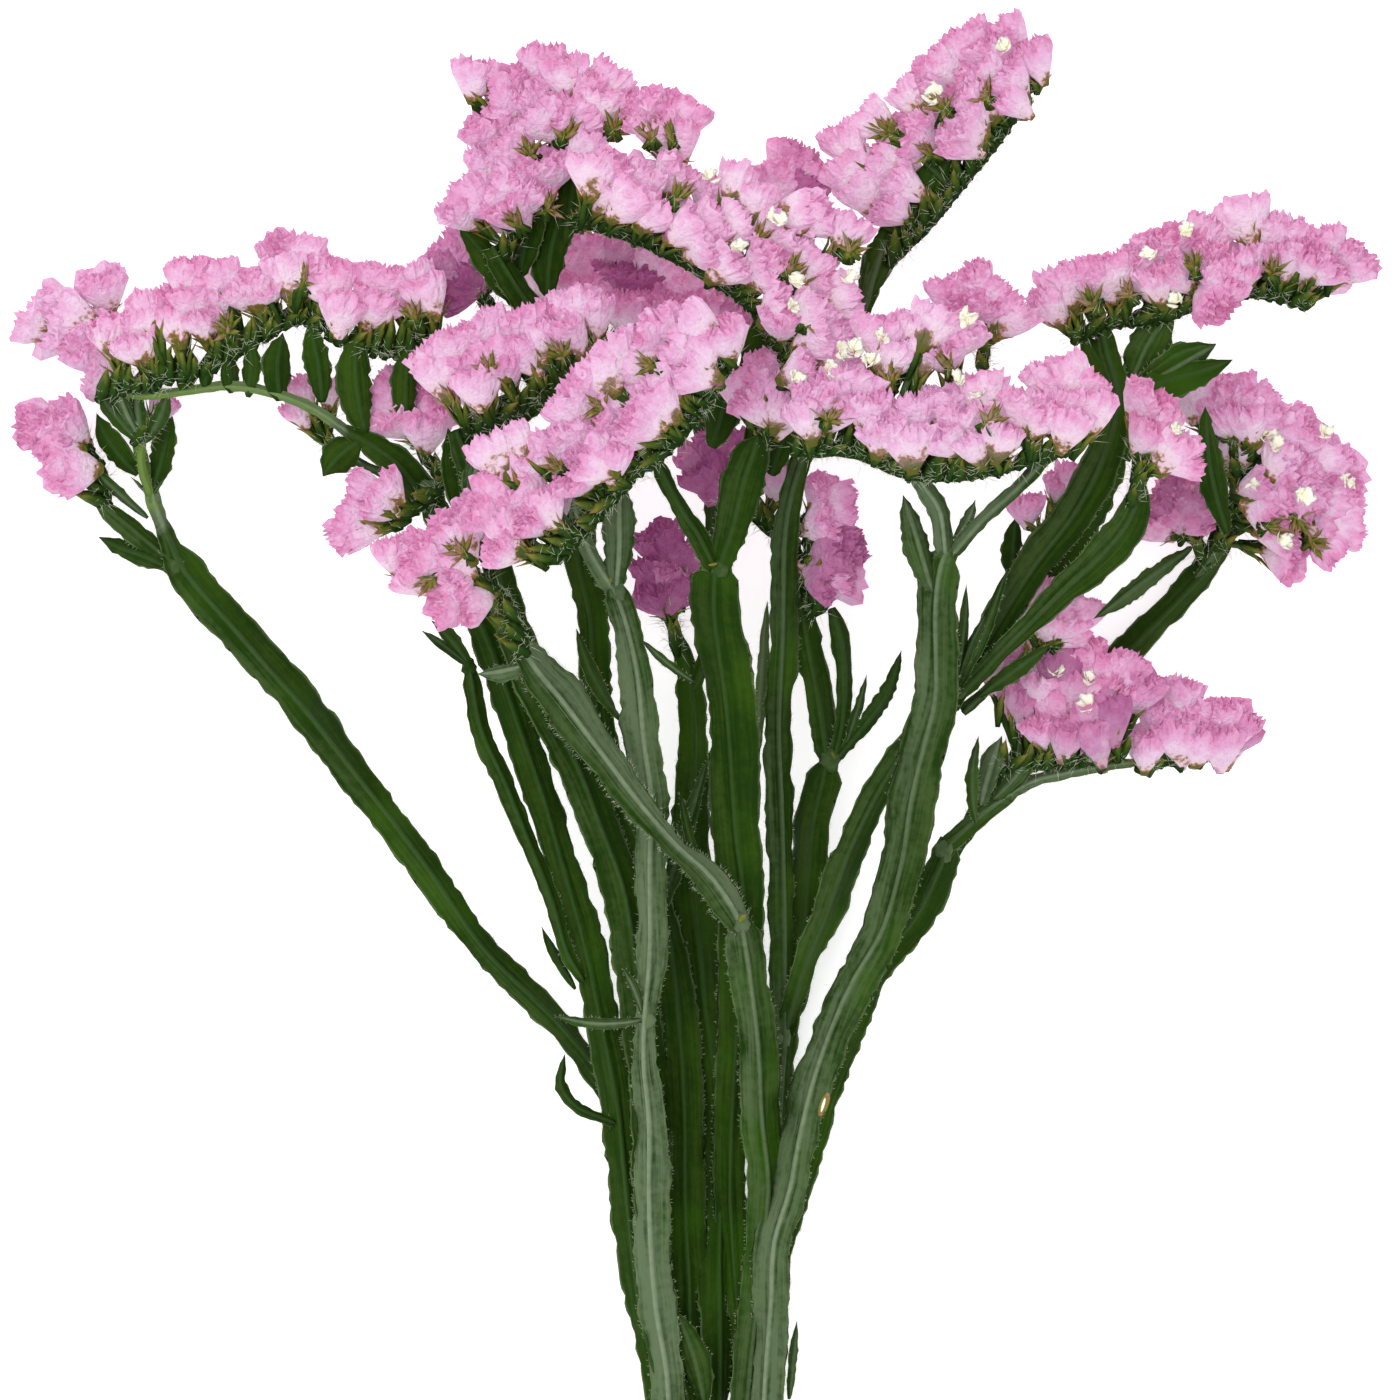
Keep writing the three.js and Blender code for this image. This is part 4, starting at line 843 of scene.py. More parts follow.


# flower heads, in millimetres: reach is how far the flowers stand out from the plane of the spine, clear how
# far they keep in front of it, sink how far the bracts start behind it, behind the calyxes' share behind the
# place where they open, shade the painted shade from 0 to 1 that makes the pink deeper and darker on heads
# lying in shade, and room the space round a tuft; fans are where the flowers open, tufts are olive bracts
# between them, and a bare head has no ribbon on its spine
heads = {
    "head_left_low": {"reach": 10, "sink": 2.0, "shade": 0.5,
        "spine": [(-152, 225, 12), (-154, 234, 11), (-158, 241, 11)],
        "fans": [(-169, 244), (-163, 246), (-157, 244), (-164, 236), (-160, 233), (-166.5, 240),
        (-161, 240.5)]},
    "head_left_tip": {"reach": 11, "sink": 2.5, "shade": 0.25,
        "spine": [(-144, 246, 12), (-150, 255, 12), (-152.5, 265, 12), (-152, 273.5, 12)],
        "fans": [(-165, 275), (-159.5, 272.5), (-169, 272), (-157.5, 266.5), (-151, 262.5), (-149, 257),
        (-163.5, 269.5), (-151, 280.5), (-153, 269)]},
    "head_arch": {"reach": 10.5, "clear": 13.5, "sink": 2.0, "shade": 0.3, "room": 3.7, "bare": True,
        "spine": [(-151, 253, 30), (-137.5, 256.5, 32), (-124, 259.5, 35), (-112.5, 266, 38), (-100, 272, 40),
        (-89, 266, 42), (-75, 263.5, 42), (-68, 267.5, 42)],
        "fans": [(-148, 269), (-144, 271.5), (-139, 267), (-134, 277), (-132.5, 271), (-125, 271.5),
        (-122, 282), (-115, 279.5), (-111, 274), (-105.5, 288), (-99.5, 287), (-102.5, 283), (-93.5, 278),
        (-89, 274.5), (-79, 281), (-72.5, 282), (-76, 275.5), (-79.5, 271), (-69, 278), (-148, 265),
        (-142, 266.5), (-127, 277.5), (-139, 274), (-118.5, 273.5), (-128, 282), (-109.5, 279.5),
        (-95.5, 283), (-91.5, 272)],
        "tufts": [(-71, 270), (-99, 279), (-118, 267)]},
    "head_upper_left": {"reach": 11,
        "spine": [(-50, 288, 47), (-44, 299, 47), (-38.5, 311, 46), (-34.5, 322.5, 46)],
        "fans": [(-56, 333), (-48, 330), (-50.5, 325), (-53, 319), (-39, 335), (-34, 333), (-28, 330),
        (-22, 329), (-20, 323), (-32, 325), (-40, 320.5), (-27.5, 317.5), (-47.5, 315), (-54, 310),
        (-36, 312.5), (-57.5, 302), (-51.5, 304), (-45, 306.5), (-47.5, 298), (-37, 304.5), (-60.5, 298),
        (-41, 299), (-42.5, 326), (-24, 322), (-35, 317.5), (-44, 312.5), (-30, 312.5), (-27, 312)],
        "tufts": [(-38, 297), (-45, 293), (-30, 294), (-42, 311), (-34, 315), (-21.5, 317)]},
    "head_upper_small": {"reach": 8,
        "spine": [(-9, 307, 55), (-9, 313.5, 54)],
        "fans": [(-14, 322), (-8.5, 324), (-3, 321.5), (-11, 318), (-5, 317.5)],
        "tufts": [(-12, 314.5), (-7, 314.5)]},
    "head_centre_long": {"reach": 12, "clear": 8, "shade": 0.2, "room": 3.4,
        "spine": [(-28, 297, 60), (-12.5, 292, 61), (4, 283, 63), (16, 274, 64), (23, 262.5, 65),
        (25, 251, 66)],
        "fans": [(-27, 306), (-19.5, 307.5), (-12.5, 305.5), (-5, 307), (-16, 300), (-9.5, 298), (-3, 298),
        (-5, 288), (-23, 301.5), (3, 303), (9, 305), (14, 301), (4.5, 294.5), (10.5, 294.5), (17, 294.5),
        (23, 290), (29, 285), (31, 278.5), (32, 296), (38, 293.5), (25, 296), (8.5, 284.5), (13.5, 288.5),
        (19.5, 283.5), (14, 278), (22.5, 277), (37, 275.5), (34.5, 268), (28, 272), (20, 270.5), (30, 264),
        (24.5, 266), (16, 265), (35.5, 259.5), (21.5, 259.5), (26.5, 255.5), (3, 287), (34.5, 287.5)],
        "corollas": [(2, 304), (19, 293.5), (9, 286.5), (23, 278), (22.5, 272), (35.5, 279.5), (32, 256),
        (23, 255), (34.5, 261)],
        "tufts": [(22, 281), (26, 268.5), (-6, 299), (14, 289), (37, 286)]},
    "head_centre_low": {"reach": 8.5,
        "spine": [(14.5, 239, 58), (16, 246, 60)],
        "fans": [(13, 247), (12, 252), (18, 254), (16, 258.5), (10, 256), (20.5, 250)]},
    "head_right_centre": {"reach": 11.5, "clear": 10, "shade": 0.15, "room": 3.6,
        "spine": [(24, 240, 75), (37.5, 240, 76), (52, 234.5, 76), (66, 234, 76), (80, 237, 76),
        (90.5, 240, 76)],
        "fans": [(45, 267.5), (52, 270), (58.5, 268.5), (64, 266.5), (54.5, 263), (48.5, 262), (60, 262.5),
        (40, 254), (34, 254), (28, 250.5), (34.5, 248), (26, 245.5), (41.5, 248), (47, 254.5), (46, 242.5),
        (53, 247.5), (51.5, 240), (59, 249.5), (59.5, 241.5), (65.5, 246.5), (67, 239.5), (72.5, 250),
        (75, 242), (80, 249), (86.5, 247), (83.5, 241), (92, 250), (90, 255), (96, 254), (97.5, 248),
        (91.5, 242), (44.5, 236), (85, 256.5), (70, 252.5)],
        "corollas": [(45, 264), (64.5, 253), (68.5, 249.5), (66, 269), (42, 258), (38, 261)],
        "tufts": [(47, 253), (31.5, 244), (71, 243), (61.5, 257)]},
    "head_right_back": {"reach": 8.5,
        "spine": [(70.5, 261, 60), (70.5, 266.5, 58)],
        "fans": [(62, 277.5), (68.5, 280), (75.5, 277.5), (65.5, 273), (72.5, 273), (78.5, 272)]},
    "head_top_right": {"reach": 10.5, "clear": 3, "shade": 0.33, "room": 3.5,
        "spine": [(45, 287, 45), (55, 297, 45), (60, 303, 45), (66.5, 311, 45), (74, 320.5, 45),
        (79.5, 330.5, 45)],
        "fans": [(76, 343), (66.5, 340), (83, 337), (73, 339), (59.5, 335), (70.5, 333.5), (56, 330),
        (64.5, 330), (76, 331), (77, 325), (51, 327), (54, 322), (68, 326), (65.5, 322), (64, 315.5),
        (41.5, 321), (46, 319), (36, 315.5), (53, 315.5), (44.5, 310.5), (49.5, 304.5), (46, 299),
        (36.5, 308.5), (40.5, 303.5), (65.5, 318), (77.5, 335.5)],
        "corollas": [(76, 337), (58.5, 325)],
        "tufts": [(58, 311), (47, 316.5), (61, 322), (71.5, 325)]},
    "head_upper_right": {"reach": 10.5, "clear": 9, "room": 4,
        "spine": [(94, 268.5, 51), (102.5, 272, 51), (115, 273.5, 51), (125, 277.5, 51), (137.5, 280, 51),
        (151, 277, 51)],
        "fans": [(87, 275), (90.5, 279.5), (96.5, 282.5), (102.5, 284), (106, 279), (112, 275), (117, 282),
        (115, 289), (121, 291), (128, 293.5), (135, 296.5), (127, 287), (134.5, 286), (142, 293), (148, 292),
        (155.5, 291.5), (161, 288), (164.5, 283), (151.5, 285.5), (145, 286), (134, 278), (132, 271),
        (128, 264.5), (124, 270.5), (110.5, 285.5), (127.5, 279.5), (158, 283.5), (99.5, 278)],
        "corollas": [(112, 285.5), (119, 274), (121, 291)],
        "tufts": [(98, 273), (123, 282), (142.5, 281), (107, 275.5)]},
    "head_pair": {"reach": 7.5,
        "spine": [(109.5, 227, 61), (111, 235.5, 62)],
        "fans": [(111.5, 249.5), (116, 246.5), (112.5, 243), (118, 238.5), (121, 235)],
        "corollas": [(117.5, 241.5)]},
    "head_right": {"reach": 14, "room": 3.5,
        "spine": [(133, 213.5, 11), (136, 222.5, 15), (140.5, 229, 15), (146, 231, 15)],
        "fans": [(131.5, 240), (137.5, 244), (145.5, 244.5), (153, 242.5), (159, 238), (163.5, 231.5),
        (136, 234.5), (143, 237.5), (150, 234.5), (156.5, 230), (140.5, 229), (147.5, 226.5), (153, 223),
        (161.5, 224), (159.5, 218), (147.5, 217.5), (165.5, 220), (154.5, 215), (150, 210), (145, 222.5),
        (160, 213)],
        "corollas": [(144, 238), (142, 241), (162.5, 230), (138, 229), (151, 226), (146, 215), (156, 242)],
        "tufts": [(150, 221), (139, 238), (143, 218.5), (154, 215)]},
    "head_right_inner": {"reach": 8.5, "shade": 0.7,
        "spine": [(126.5, 213.5, 10), (122.5, 221, 12)],
        "fans": [(121, 229), (115.5, 226), (125.5, 225), (119.5, 222.5), (114, 221), (127, 219.5)]},
    "head_right_low": {"reach": 10.5, "sink": 2.0, "shade": 0.68,
        "spine": [(75, 159.5, 22), (85, 160.5, 23), (97.5, 161.5, 24), (105.5, 163, 24)],
        "fans": [(78, 184), (83.5, 187), (90.5, 185), (97, 186), (102.5, 185), (109, 183), (86.5, 180),
        (93.5, 179.5), (100, 178.5), (106, 177.5), (82.5, 175), (89.5, 174), (96.5, 172), (102.5, 172),
        (85.5, 169), (92.5, 167.5), (99, 167), (79.5, 179), (112, 179)],
        "corollas": [(97.5, 179), (97.5, 172.5), (89, 181)]},
    "head_right_low_tip": {"reach": 9, "sink": 1.0, "shade": 0.6,
        "spine": [(111, 159, 17), (121, 161, 16), (130.5, 162, 16)],
        "fans": [(116.5, 172), (122, 177), (127, 173.5), (132, 172), (137, 169.5), (120, 167.5), (126, 167),
        (113, 165.5), (131.5, 165.5)]},
    "head_mid_left": {"reach": 10, "clear": 12, "room": 3.4,
        "spine": [(-59.5, 245, 58), (-47, 250.5, 60), (-36, 256.5, 60), (-28, 262, 60)],
        "fans": [(-66.5, 260.5), (-61, 265), (-54, 267.5), (-47, 268.5), (-63.5, 256), (-57.5, 259.5),
        (-51, 262), (-43, 271), (-39, 266), (-37, 272.5), (-31, 273.5), (-25.5, 271), (-45, 262.5),
        (-55, 254), (-48, 256), (-33.5, 267), (-28.5, 266)],
        "tufts": [(-34, 260), (-52, 256)]},
    "head_front": {"reach": 11.5, "clear": 11, "sink": 2.0, "shade": 0.36, "room": 3.1,
        "spine": [(4, 257, 83), (-2, 247.5, 83), (-10.5, 237, 83), (-18.5, 231, 83), (-29, 219, 82),
        (-37, 211, 81)],
        "fans": [(-10, 269.5), (-2, 267.5), (5.5, 265.5), (0, 262), (-6.5, 262.5), (-3, 256.5), (-15, 264.5),
        (-22, 262), (-24.5, 257), (-16.5, 258), (-11, 254), (-29, 253.5), (-32, 249), (-22, 250.5),
        (-15, 247.5), (-9, 247.5), (-26.5, 244), (-19.5, 242), (-32.5, 242), (-37, 238.5), (-47, 240),
        (-42, 236), (-51, 237), (-28, 235), (-22, 236), (-30, 230), (-25, 229), (-36, 231.5), (-50, 228.5),
        (-44, 227.5), (-38.5, 225), (-54.5, 222.5), (-48.5, 219), (-42.5, 220), (-46, 209.5), (-13.5, 241),
        (-47, 232.5)],
        "tufts": [(-34.5, 232), (-12, 257), (-24, 247)]},
    "head_front_low": {"reach": 10, "sink": 2.0,
        "spine": [(-45.5, 187.5, 62), (-48.5, 197, 65), (-54, 204, 66), (-59.5, 207, 67)],
        "fans": [(-59, 220), (-65.5, 215.5), (-73.5, 212), (-76.5, 213.5), (-69, 209.5), (-62, 211),
        (-65, 204.5), (-59.5, 204), (-56.5, 198.5), (-57.5, 215), (-62.5, 200), (-72, 207)],
        "tufts": [(-58.5, 211), (-66, 205)]},
    "head_small_left": {"reach": 7.5, "size": 0.85, "shade": 0.5,
        "spine": [(-69, 228, 42), (-74.5, 223.5, 45), (-79, 219.5, 45)],
        "fans": [(-79.5, 229.5), (-85, 228.5), (-82, 224.5), (-88.5, 220.5), (-90.5, 216), (-86, 217)]},
    "head_shade": {"reach": 8.5, "shade": 1.0,
        "spine": [(-6, 191, 15.5), (-7.5, 198.5, 15)],
        "fans": [(-10, 215.5), (-4.5, 213), (-12.5, 209.5), (-7, 207), (-11, 203.5), (-3.5, 205)]},
    "head_floor_row": {"reach": 11, "behind": 0.5, "clear": 7, "shade": 0.7,
        "spine": [(-38, 269.5, 11), (-25, 266, 11), (-11, 264, 11), (2.5, 266, 11)],
        "fans": [(-36, 287), (-28, 287.5), (-21, 287.5), (-13, 285.5), (-39, 280), (-31.5, 281), (-24, 280),
        (-16.5, 279), (-9.5, 279), (-2.5, 277.5), (-34, 274.5), (-26.5, 273), (-19, 272.5), (-11.5, 272),
        (-4, 271), (3, 273.5), (7, 270.5)]},
    "head_back_mid": {"reach": 8, "shade": 0.85,
        "spine": [(19, 220, 27), (12, 226, 27), (6, 229.5, 27)],
        "fans": [(-1.5, 238.5), (4.5, 240), (11, 239), (0.5, 233), (7, 234), (14, 234.5), (19.5, 233),
        (3, 228)]},
    "head_side": {"reach": 8, "shade": 0.65,
        "spine": [(32, 198, 27), (31, 208.5, 28), (30, 219, 28)],
        "fans": [(32, 228.5), (36.5, 224), (32.5, 220), (38.5, 214.5), (34, 212), (37.5, 206.5), (33, 205)]},
}
# shaded flowers behind the heads, each group on a thin twig: (x, y, z, width)
groups = {
    "group_arch_tip": {"reach": 6, "size": 0.65, "twigTone": 1.9,
        "spine": [(-140, 243, 20), (-138, 246, 20)],
        "fans": [(-135.5, 249)],
        "twig": [(-138.5, 226, 13, 2.4), (-141, 235, 18, 2), (-140, 243, 20, 1.8)]},
    "group_arch_back": {"reach": 7, "size": 0.7,
        "spine": [(-92, 238, 26), (-95, 243, 25)],
        "fans": [(-100.5, 254), (-101.5, 248), (-93, 253.5)],
        "twig": [(-74, 230, 39, 3), (-84, 234, 30, 2.4), (-92, 238.5, 26, 2)]},
    "group_top": {"reach": 8, "shade": 0.7,
        "spine": [(23, 296.5, 41), (23, 302.5, 41)],
        "fans": [(18.5, 308.5), (24, 310.5), (29.5, 308), (22, 305), (27, 304.5)],
        "twig": [(20, 272, 58, 3), (22, 285, 47, 2.6), (23, 297, 41, 2.2)]},
    "group_left": {"reach": 8, "shade": 0.9,
        "spine": [(-53.5, 273.5, 32), (-57.5, 279.5, 32)],
        "fans": [(-63.5, 289.5), (-59, 288), (-65, 284), (-60, 282), (-63, 277.5)],
        "twig": [(-33, 254, 44, 3), (-42, 264, 38, 2.6), (-54, 274, 32, 2.2)]},
    "group_under_arch": {"reach": 7.5, "shade": 0.65,
        "spine": [(-65, 232.5, 36), (-70, 240.5, 36)],
        "fans": [(-80, 252), (-77.5, 247), (-74, 251.5), (-69, 252), (-65.5, 248.5), (-68.5, 245.5)],
        "twig": [(-64, 216, 37, 3), (-65, 225, 36, 2.6), (-65, 233, 36, 2.2)]},
    "group_right_top": {"reach": 9,
        "spine": [(135, 236, 24), (134, 242.5, 25)],
        "fans": [(122.5, 253), (128, 251), (133.5, 254), (139, 252), (143.5, 249), (130.5, 247),
        (137, 247.5)],
        "twig": [(133, 214, 10, 3), (134.5, 225, 18, 2.6), (135, 237, 24, 2.2)]},
    "group_right_small": {"reach": 7.5,
        "spine": [(81, 185, 28), (87.5, 191.5, 31)],
        "fans": [(84, 200.5), (90, 201.5), (96, 199.5), (87.5, 196), (93, 195.5)],
        "twig": [(66, 172, 38, 3.4), (74, 179, 32, 2.8), (81.5, 185.5, 28, 2.2)]},
    "group_right_shade": {"reach": 7, "size": 0.75, "shade": 0.5,
        "spine": [(86.5, 213, 34), (88, 220, 34)],
        "fans": [(81.5, 224.5), (94, 232.5), (90.5, 229.5)],
        "twig": [(80, 203, 41.5, 3), (84, 208, 37, 2.6), (86.5, 213.5, 34, 2.2)]},
}
tuft = {
    "blades": 17, "length": 8.5, "half": np.array([0.55, 1.05, 0.75, 0.05]), "spread": 0.5, "lift": 0.5,
    "stand": np.array([[-1.2, 0.2, 0.9, 1.4]]), "ripe": 0.4, "room": 3.3,
}
calyx = {
    "radius": 5.85, "length": 11.6, "columns": 38, "backColumns": 16, "ripple": (0.05, 0.06, 0.05),
    "lift": (0.05, 0.04), "waves": (5, 8, 13, 3, 7), "tooth": 0.9, "crumple": 0.4, "wide": (0.92, 1.16),
    "deep": (0.62, 0.88), "vary": 0.2, "shade": 0.4, "toneVary": 0.22, "behind": 0.82, "floor": 0.76,
}
# share of the length, share of the radius, share of the crumpling: up the outside, then down into the cup
frontWall = np.array([
    (0, 0.17, 0), (0.13, 0.31, 0), (0.3, 0.54, 0.05), (0.48, 0.76, 0.15), (0.65, 0.92, 0.4), (0.8, 1.0, 0.8),
    (0.93, 1.03, 1), (0.96, 0.9, 1), (0.86, 0.78, 1), (1.0, 0.64, 1), (0.88, 0.5, 1), (1.0, 0.36, 1),
    (0.9, 0.22, 0.8), (0.8, 0.1, 0.4),
])
backWall = np.array([
    (0, 0.17, 0), (0.18, 0.37, 0), (0.45, 0.73, 0.15), (0.75, 1.02, 0.8), (0.95, 0.93, 1), (0.95, 0.6, 1),
    (0.88, 0.25, 0.5),
])
dome = {
    "facing": 0.75, "flat": 6, "steep": 26, "spread": 1.25, "round": 0.93, "seat": 4.0, "jitter": 0.27,
    "near": 3, "clear": 4, "backFrom": 2.5, "backVary": 1.5, "backFloor": 4,
}
bract = {
    "rows": np.array([0, 0.35, 0.7, 1]), "half": np.array([0.6, 1.15, 0.85, 0.06]), "shortest": 6.5,
    "longest": 12.0, "reach": 5.0, "stand": np.array([0.2, 1.3, 2.1, 3.8]), "perCalyx": 5, "perBack": 3,
    "sink": 3.5, "lean": 0.8, "turnVary": 0.5, "lengthVary": (0.7, 1.12), "standVary": (0.7, 1.3),
    "hairs": 16, "hairLength": 4.2, "hairThickness": 0.17, "hairVary": (0.5, 1.3), "hairFrom": (1.2, 2.8),
}
scale = {
    "gap": 3.0, "length": 10.5, "half": np.array([0.5, 1, 0.7, 0.08]) * 1.9, "dry": 0.4,
    "stand": np.array([[0.2, 0.9, 1.6, 2.6]]), "along": 0.5, "lean": (0.2, 1.5), "rise": 0.25,
    "aside": 0.35, "footBack": 1.5, "footOut": 0.6, "lengthVary": (0.45, 1.2),
    "threads": 44, "threadEvery": 5, "threadLength": 4.6, "threadVary": (0.4, 1.2), "threadFrom": (0.8, 2.6),
}


def addCalyxes(piece, base, axis, wall, columns, shade, scaled, random):
    # radius = radius * wall * (1 + u^2 * sum of cosines of the turn), height = length * (u + u^3 * cosines),
    # and near the rim every point is pushed about at random by its share of the crumpling
    count = len(base)
    u, spread, crumpled = (part[None, :, None] for part in wall.T)
    turn = np.linspace(0, 2 * math.pi, columns, endpoint=False)
    phase = random.uniform(0, 2 * math.pi, (count, 5))
    wave = [np.cos(n * turn[None] + phase[:, k, None]) for k, n in enumerate(calyx["waves"])]
    ripple = sum(size * part for size, part in zip(calyx["ripple"], wave[:3]))[:, None]
    lift = sum(size * part for size, part in zip(calyx["lift"], wave[3:]))[:, None]
    tooth = np.where(np.arange(columns) % 2, 1, -1) * random.uniform(0.1, 1, (count, columns))
    tooth = tooth * calyx["tooth"]
    size = scaled * (1 + calyx["vary"] * random.uniform(-1, 1, count))
    length = scaled * calyx["length"] * (1 + 0.6 * calyx["vary"] * random.uniform(-1, 1, count))
    r = spread * (1 + u**2 * ripple) * (calyx["radius"] * size)[:, None, None]
    h = (u + u**3 * lift) * length[:, None, None] + crumpled**3 * tooth[:, None]
    shared = random.normal(0, 1, (count, 1, columns, 3))
    push = (0.7 * shared + 0.7 * random.normal(0, 1, (count, len(wall), columns, 3))) * calyx["crumple"]
    first, second = (part[:, None, None] for part in axisFrames(axis))
    x = r * np.cos(turn) * random.uniform(*calyx["wide"], count)[:, None, None]
    y = r * np.sin(turn) * random.uniform(*calyx["deep"], count)[:, None, None]
    rings = (base[:, None, None] + first * x[..., None] + second * y[..., None]
             + axis[:, None, None] * h[..., None] + push * crumpled[..., None])
    fold = np.clip(ripple * 4 + push[..., 2] * 0.8, -1, 1) * u
    # each flower's tone is its head's painted shade, give or take a little at random
    tone = np.clip(shade + random.uniform(-calyx["toneVary"], calyx["toneVary"], (count, 1, 1)), 0, 1)
    floor = base + axis * (length * calyx["floor"])[:, None]
    piece.add(rings, base, floor, "calyx", along=u[0], fold=fold, tone=tone)


blade = {
    "across": np.array([1, 0, -1, 0]), "fold": np.array([-0.5, 0.1, -0.5, -0.1]),
    "thick": np.array([0, 0.15, 0, -0.15]), "ragged": 0.3, "tipAlong": 0.7, "tipOut": 0.5,
}


def addBlades(piece, foot, axis, outward, length, half, stand, random, dry=1.0, ripe=0.0):
    # keeled blades: each a bent strip of four rows, widest at a third of its length, with a pointed tip
    across = np.cross(outward, axis)
    rows = bract["rows"]
    middle = foot[:, None] + axis[:, None] * (rows[None] * length[:, None])[..., None]
    middle = middle + outward[:, None] * stand[..., None]
    w = half[None, :, None] * np.ones((len(foot), 1, 1))
    x, y = w * blade["across"], w * blade["fold"] + blade["thick"]
    y = y + random.uniform(-blade["ragged"], blade["ragged"], y.shape) * np.abs(x) / 2
    rings = middle[:, :, None] + across[:, None, None] * x[..., None] + outward[:, None, None] * y[..., None]
    tip = middle[:, -1] + axis * blade["tipAlong"] + outward * blade["tipOut"]
    tone = ripe + dry * random.uniform(0, 1, (len(foot), 1, 1))
    piece.add(rings, middle[:, 0], tip, "bract", along=rows[:, None], tone=tone)


def squareTo(up, way):
    # the part of up that is square to the way, as a unit vector
    return unit(up - way * (up * way).sum(1, keepdims=True))


def addBracts(piece, root, base, axis, around, random):
    # from the spine to a third of the way up each calyx, spread round it
    target = base + axis * bract["reach"]
    way = unit(unit(target - root) + axis * bract["lean"])
    length = np.clip(np.linalg.norm(target - root, axis=1), bract["shortest"], bract["longest"])
    for number in range(around):
        stray = random.uniform(-bract["turnVary"], bract["turnVary"], len(base))
        outward = swing(way, 2 * math.pi * number / around + stray)
        size = length * random.uniform(*bract["lengthVary"], len(base))
        stand = bract["stand"] * random.uniform(*bract["standVary"], (len(base), 1))
        addBlades(piece, target - way * length[:, None], way, outward, size, bract["half"], stand, random)


def addScales(piece, spine, facing, random):
    # leafy scales along the spine, on alternate sides, that lean the way the flowers face, and threads
    line, travelled = smoothRoute(spine, scale["gap"], 3)
    tangent = unit(np.gradient(line, axis=0))
    side = np.where(np.arange(len(line)) % 2, 1, -1)[:, None]
    for way in (1, -1):
        lean = facing * random.uniform(*scale["lean"], (len(line), 1))
        axis = unit(tangent * scale["along"] + lean + [0, 0, scale["rise"] * way])
        up = np.array([0, 0, 1.0]) * way + side * scale["aside"] * np.cross(axis, [0, 0, 1.0])
        outward = squareTo(up, axis)
        length = scale["length"] * random.uniform(*scale["lengthVary"], len(line))
        foot = line - axis * scale["footBack"] + outward * scale["footOut"]
        addBlades(piece, foot, axis, outward, length, scale["half"], scale["stand"], random, scale["dry"])
    count = scale["threads"] * max(2, int(travelled[-1] / scale["threadEvery"]))
    pick = random.integers(0, len(spine), count)
    way = unit(random.normal(0, 1, (count, 3)) * [1, 1, 0.8] + facing * 0.8 + [0, 0, 0.3])
    start = spine[pick] + way * random.uniform(*scale["threadFrom"], (count, 1))
    way = unit(way + random.normal(0, 0.8, (count, 3)) + [0, 0, 0.3])
    length = scale["threadLength"] * random.uniform(*scale["threadVary"], count)
    addSpikes(piece, start, way, length, bract["hairThickness"])


stalk = {"radius": np.array([1.0, 0.8, 1.2]), "columns": 5, "tone": (0.1, 0.6), "length": 9}


def addStalks(piece, start, end, random):
    # a thin tube from the spine to each calyx, narrowest halfway
    rows = np.linspace(0, 1, len(stalk["radius"]))
    line = start[:, None] + (end - start)[:, None] * rows[None, :, None]
    ring = circles(unit(end - start + 1e-6), stalk["columns"])
    rings = line[:, :, None] + ring[:, None] * stalk["radius"][None, :, None, None]
    tone = random.uniform(*stalk["tone"], (len(start), 1, 1))
    piece.add(rings, start, end, "green", along=rows[:, None] * stalk["length"], tone=tone)


def addHeadHairs(piece, root, base, axis, random):
    root, base, axis = (np.repeat(part, bract["hairs"], 0) for part in (root, base, axis))
    count = len(base)
    outward = swing(axis, random.uniform(0, 2 * math.pi, count))
    up = random.uniform(0, 1, (count, 1))
    out = outward * random.uniform(*bract["hairFrom"], (count, 1))
    start = root * (1 - up) + (base + axis * 2) * up + out
    lean = random.uniform(-0.8, 0.8, (count, 1))
    direction = unit(outward * random.uniform(0.3, 1, (count, 1)) + axis * random.uniform(0, 1, (count, 1))
                     + np.cross(outward, axis) * lean)
    length = bract["hairLength"] * random.uniform(*bract["hairVary"], count)
    addSpikes(piece, start, direction, length, bract["hairThickness"])


petal = {
    "rows": np.array([0, 0.35, 0.72, 1.0]), "half": np.array([0.5, 1.3, 1.7, 1.0]), "count": 5,
    "size": (0.75, 1.35), "lift": (1.3, 3.8), "throat": 0.1, "length": 1.5, "droop": 0.5, "crumple": 0.6,
    "turnVary": 0.4, "placeVary": 0.5, "tip": 0.2, "across": np.array([1, 0.4, -0.4, -1, -0.35, 0.35]),
    "cup": np.array([0.35, 0, 0, 0.35, 0, 0]), "thick": np.array([0, 0.1, 0.1, 0, -0.1, -0.1]),
}


def addCorollas(piece, places, axis, random):
    # five overlapping cupped petals round a small throat, each a strip with a wide rounded end
    rows, half, count = petal["rows"], petal["half"][:, None], len(places)
    size = random.uniform(*petal["size"], (count, 1, 1))
    for number in range(petal["count"]):
        stray = random.uniform(-petal["turnVary"], petal["turnVary"], count)
        outward = swing(axis, 2 * math.pi * number / petal["count"] + stray)
        across = np.cross(axis, outward)
        lift = random.uniform(*petal["lift"], (count, 1))
        out = petal["throat"] + petal["length"] * rows
        path = places[:, None] + outward[:, None] * out[None, :, None] * size
        path = path + axis[:, None] * (lift * rows - petal["droop"] * rows**3)[..., None]
        path = path + random.normal(0, petal["placeVary"], (count, 1, 3)) * [1, 1, 0.4]
        x, y = half * petal["across"] * size, half * petal["cup"] + petal["thick"]
        y = y + random.uniform(-petal["crumple"], petal["crumple"], (count, 4, 6)) * rows[None, :, None]
        rings = path[:, :, None] - across[:, None, None] * x[..., None] + axis[:, None, None] * y[..., None]
        piece.add(rings, path[:, 0], path[:, -1] - outward * petal["tip"], "corolla", along=rows[:, None])


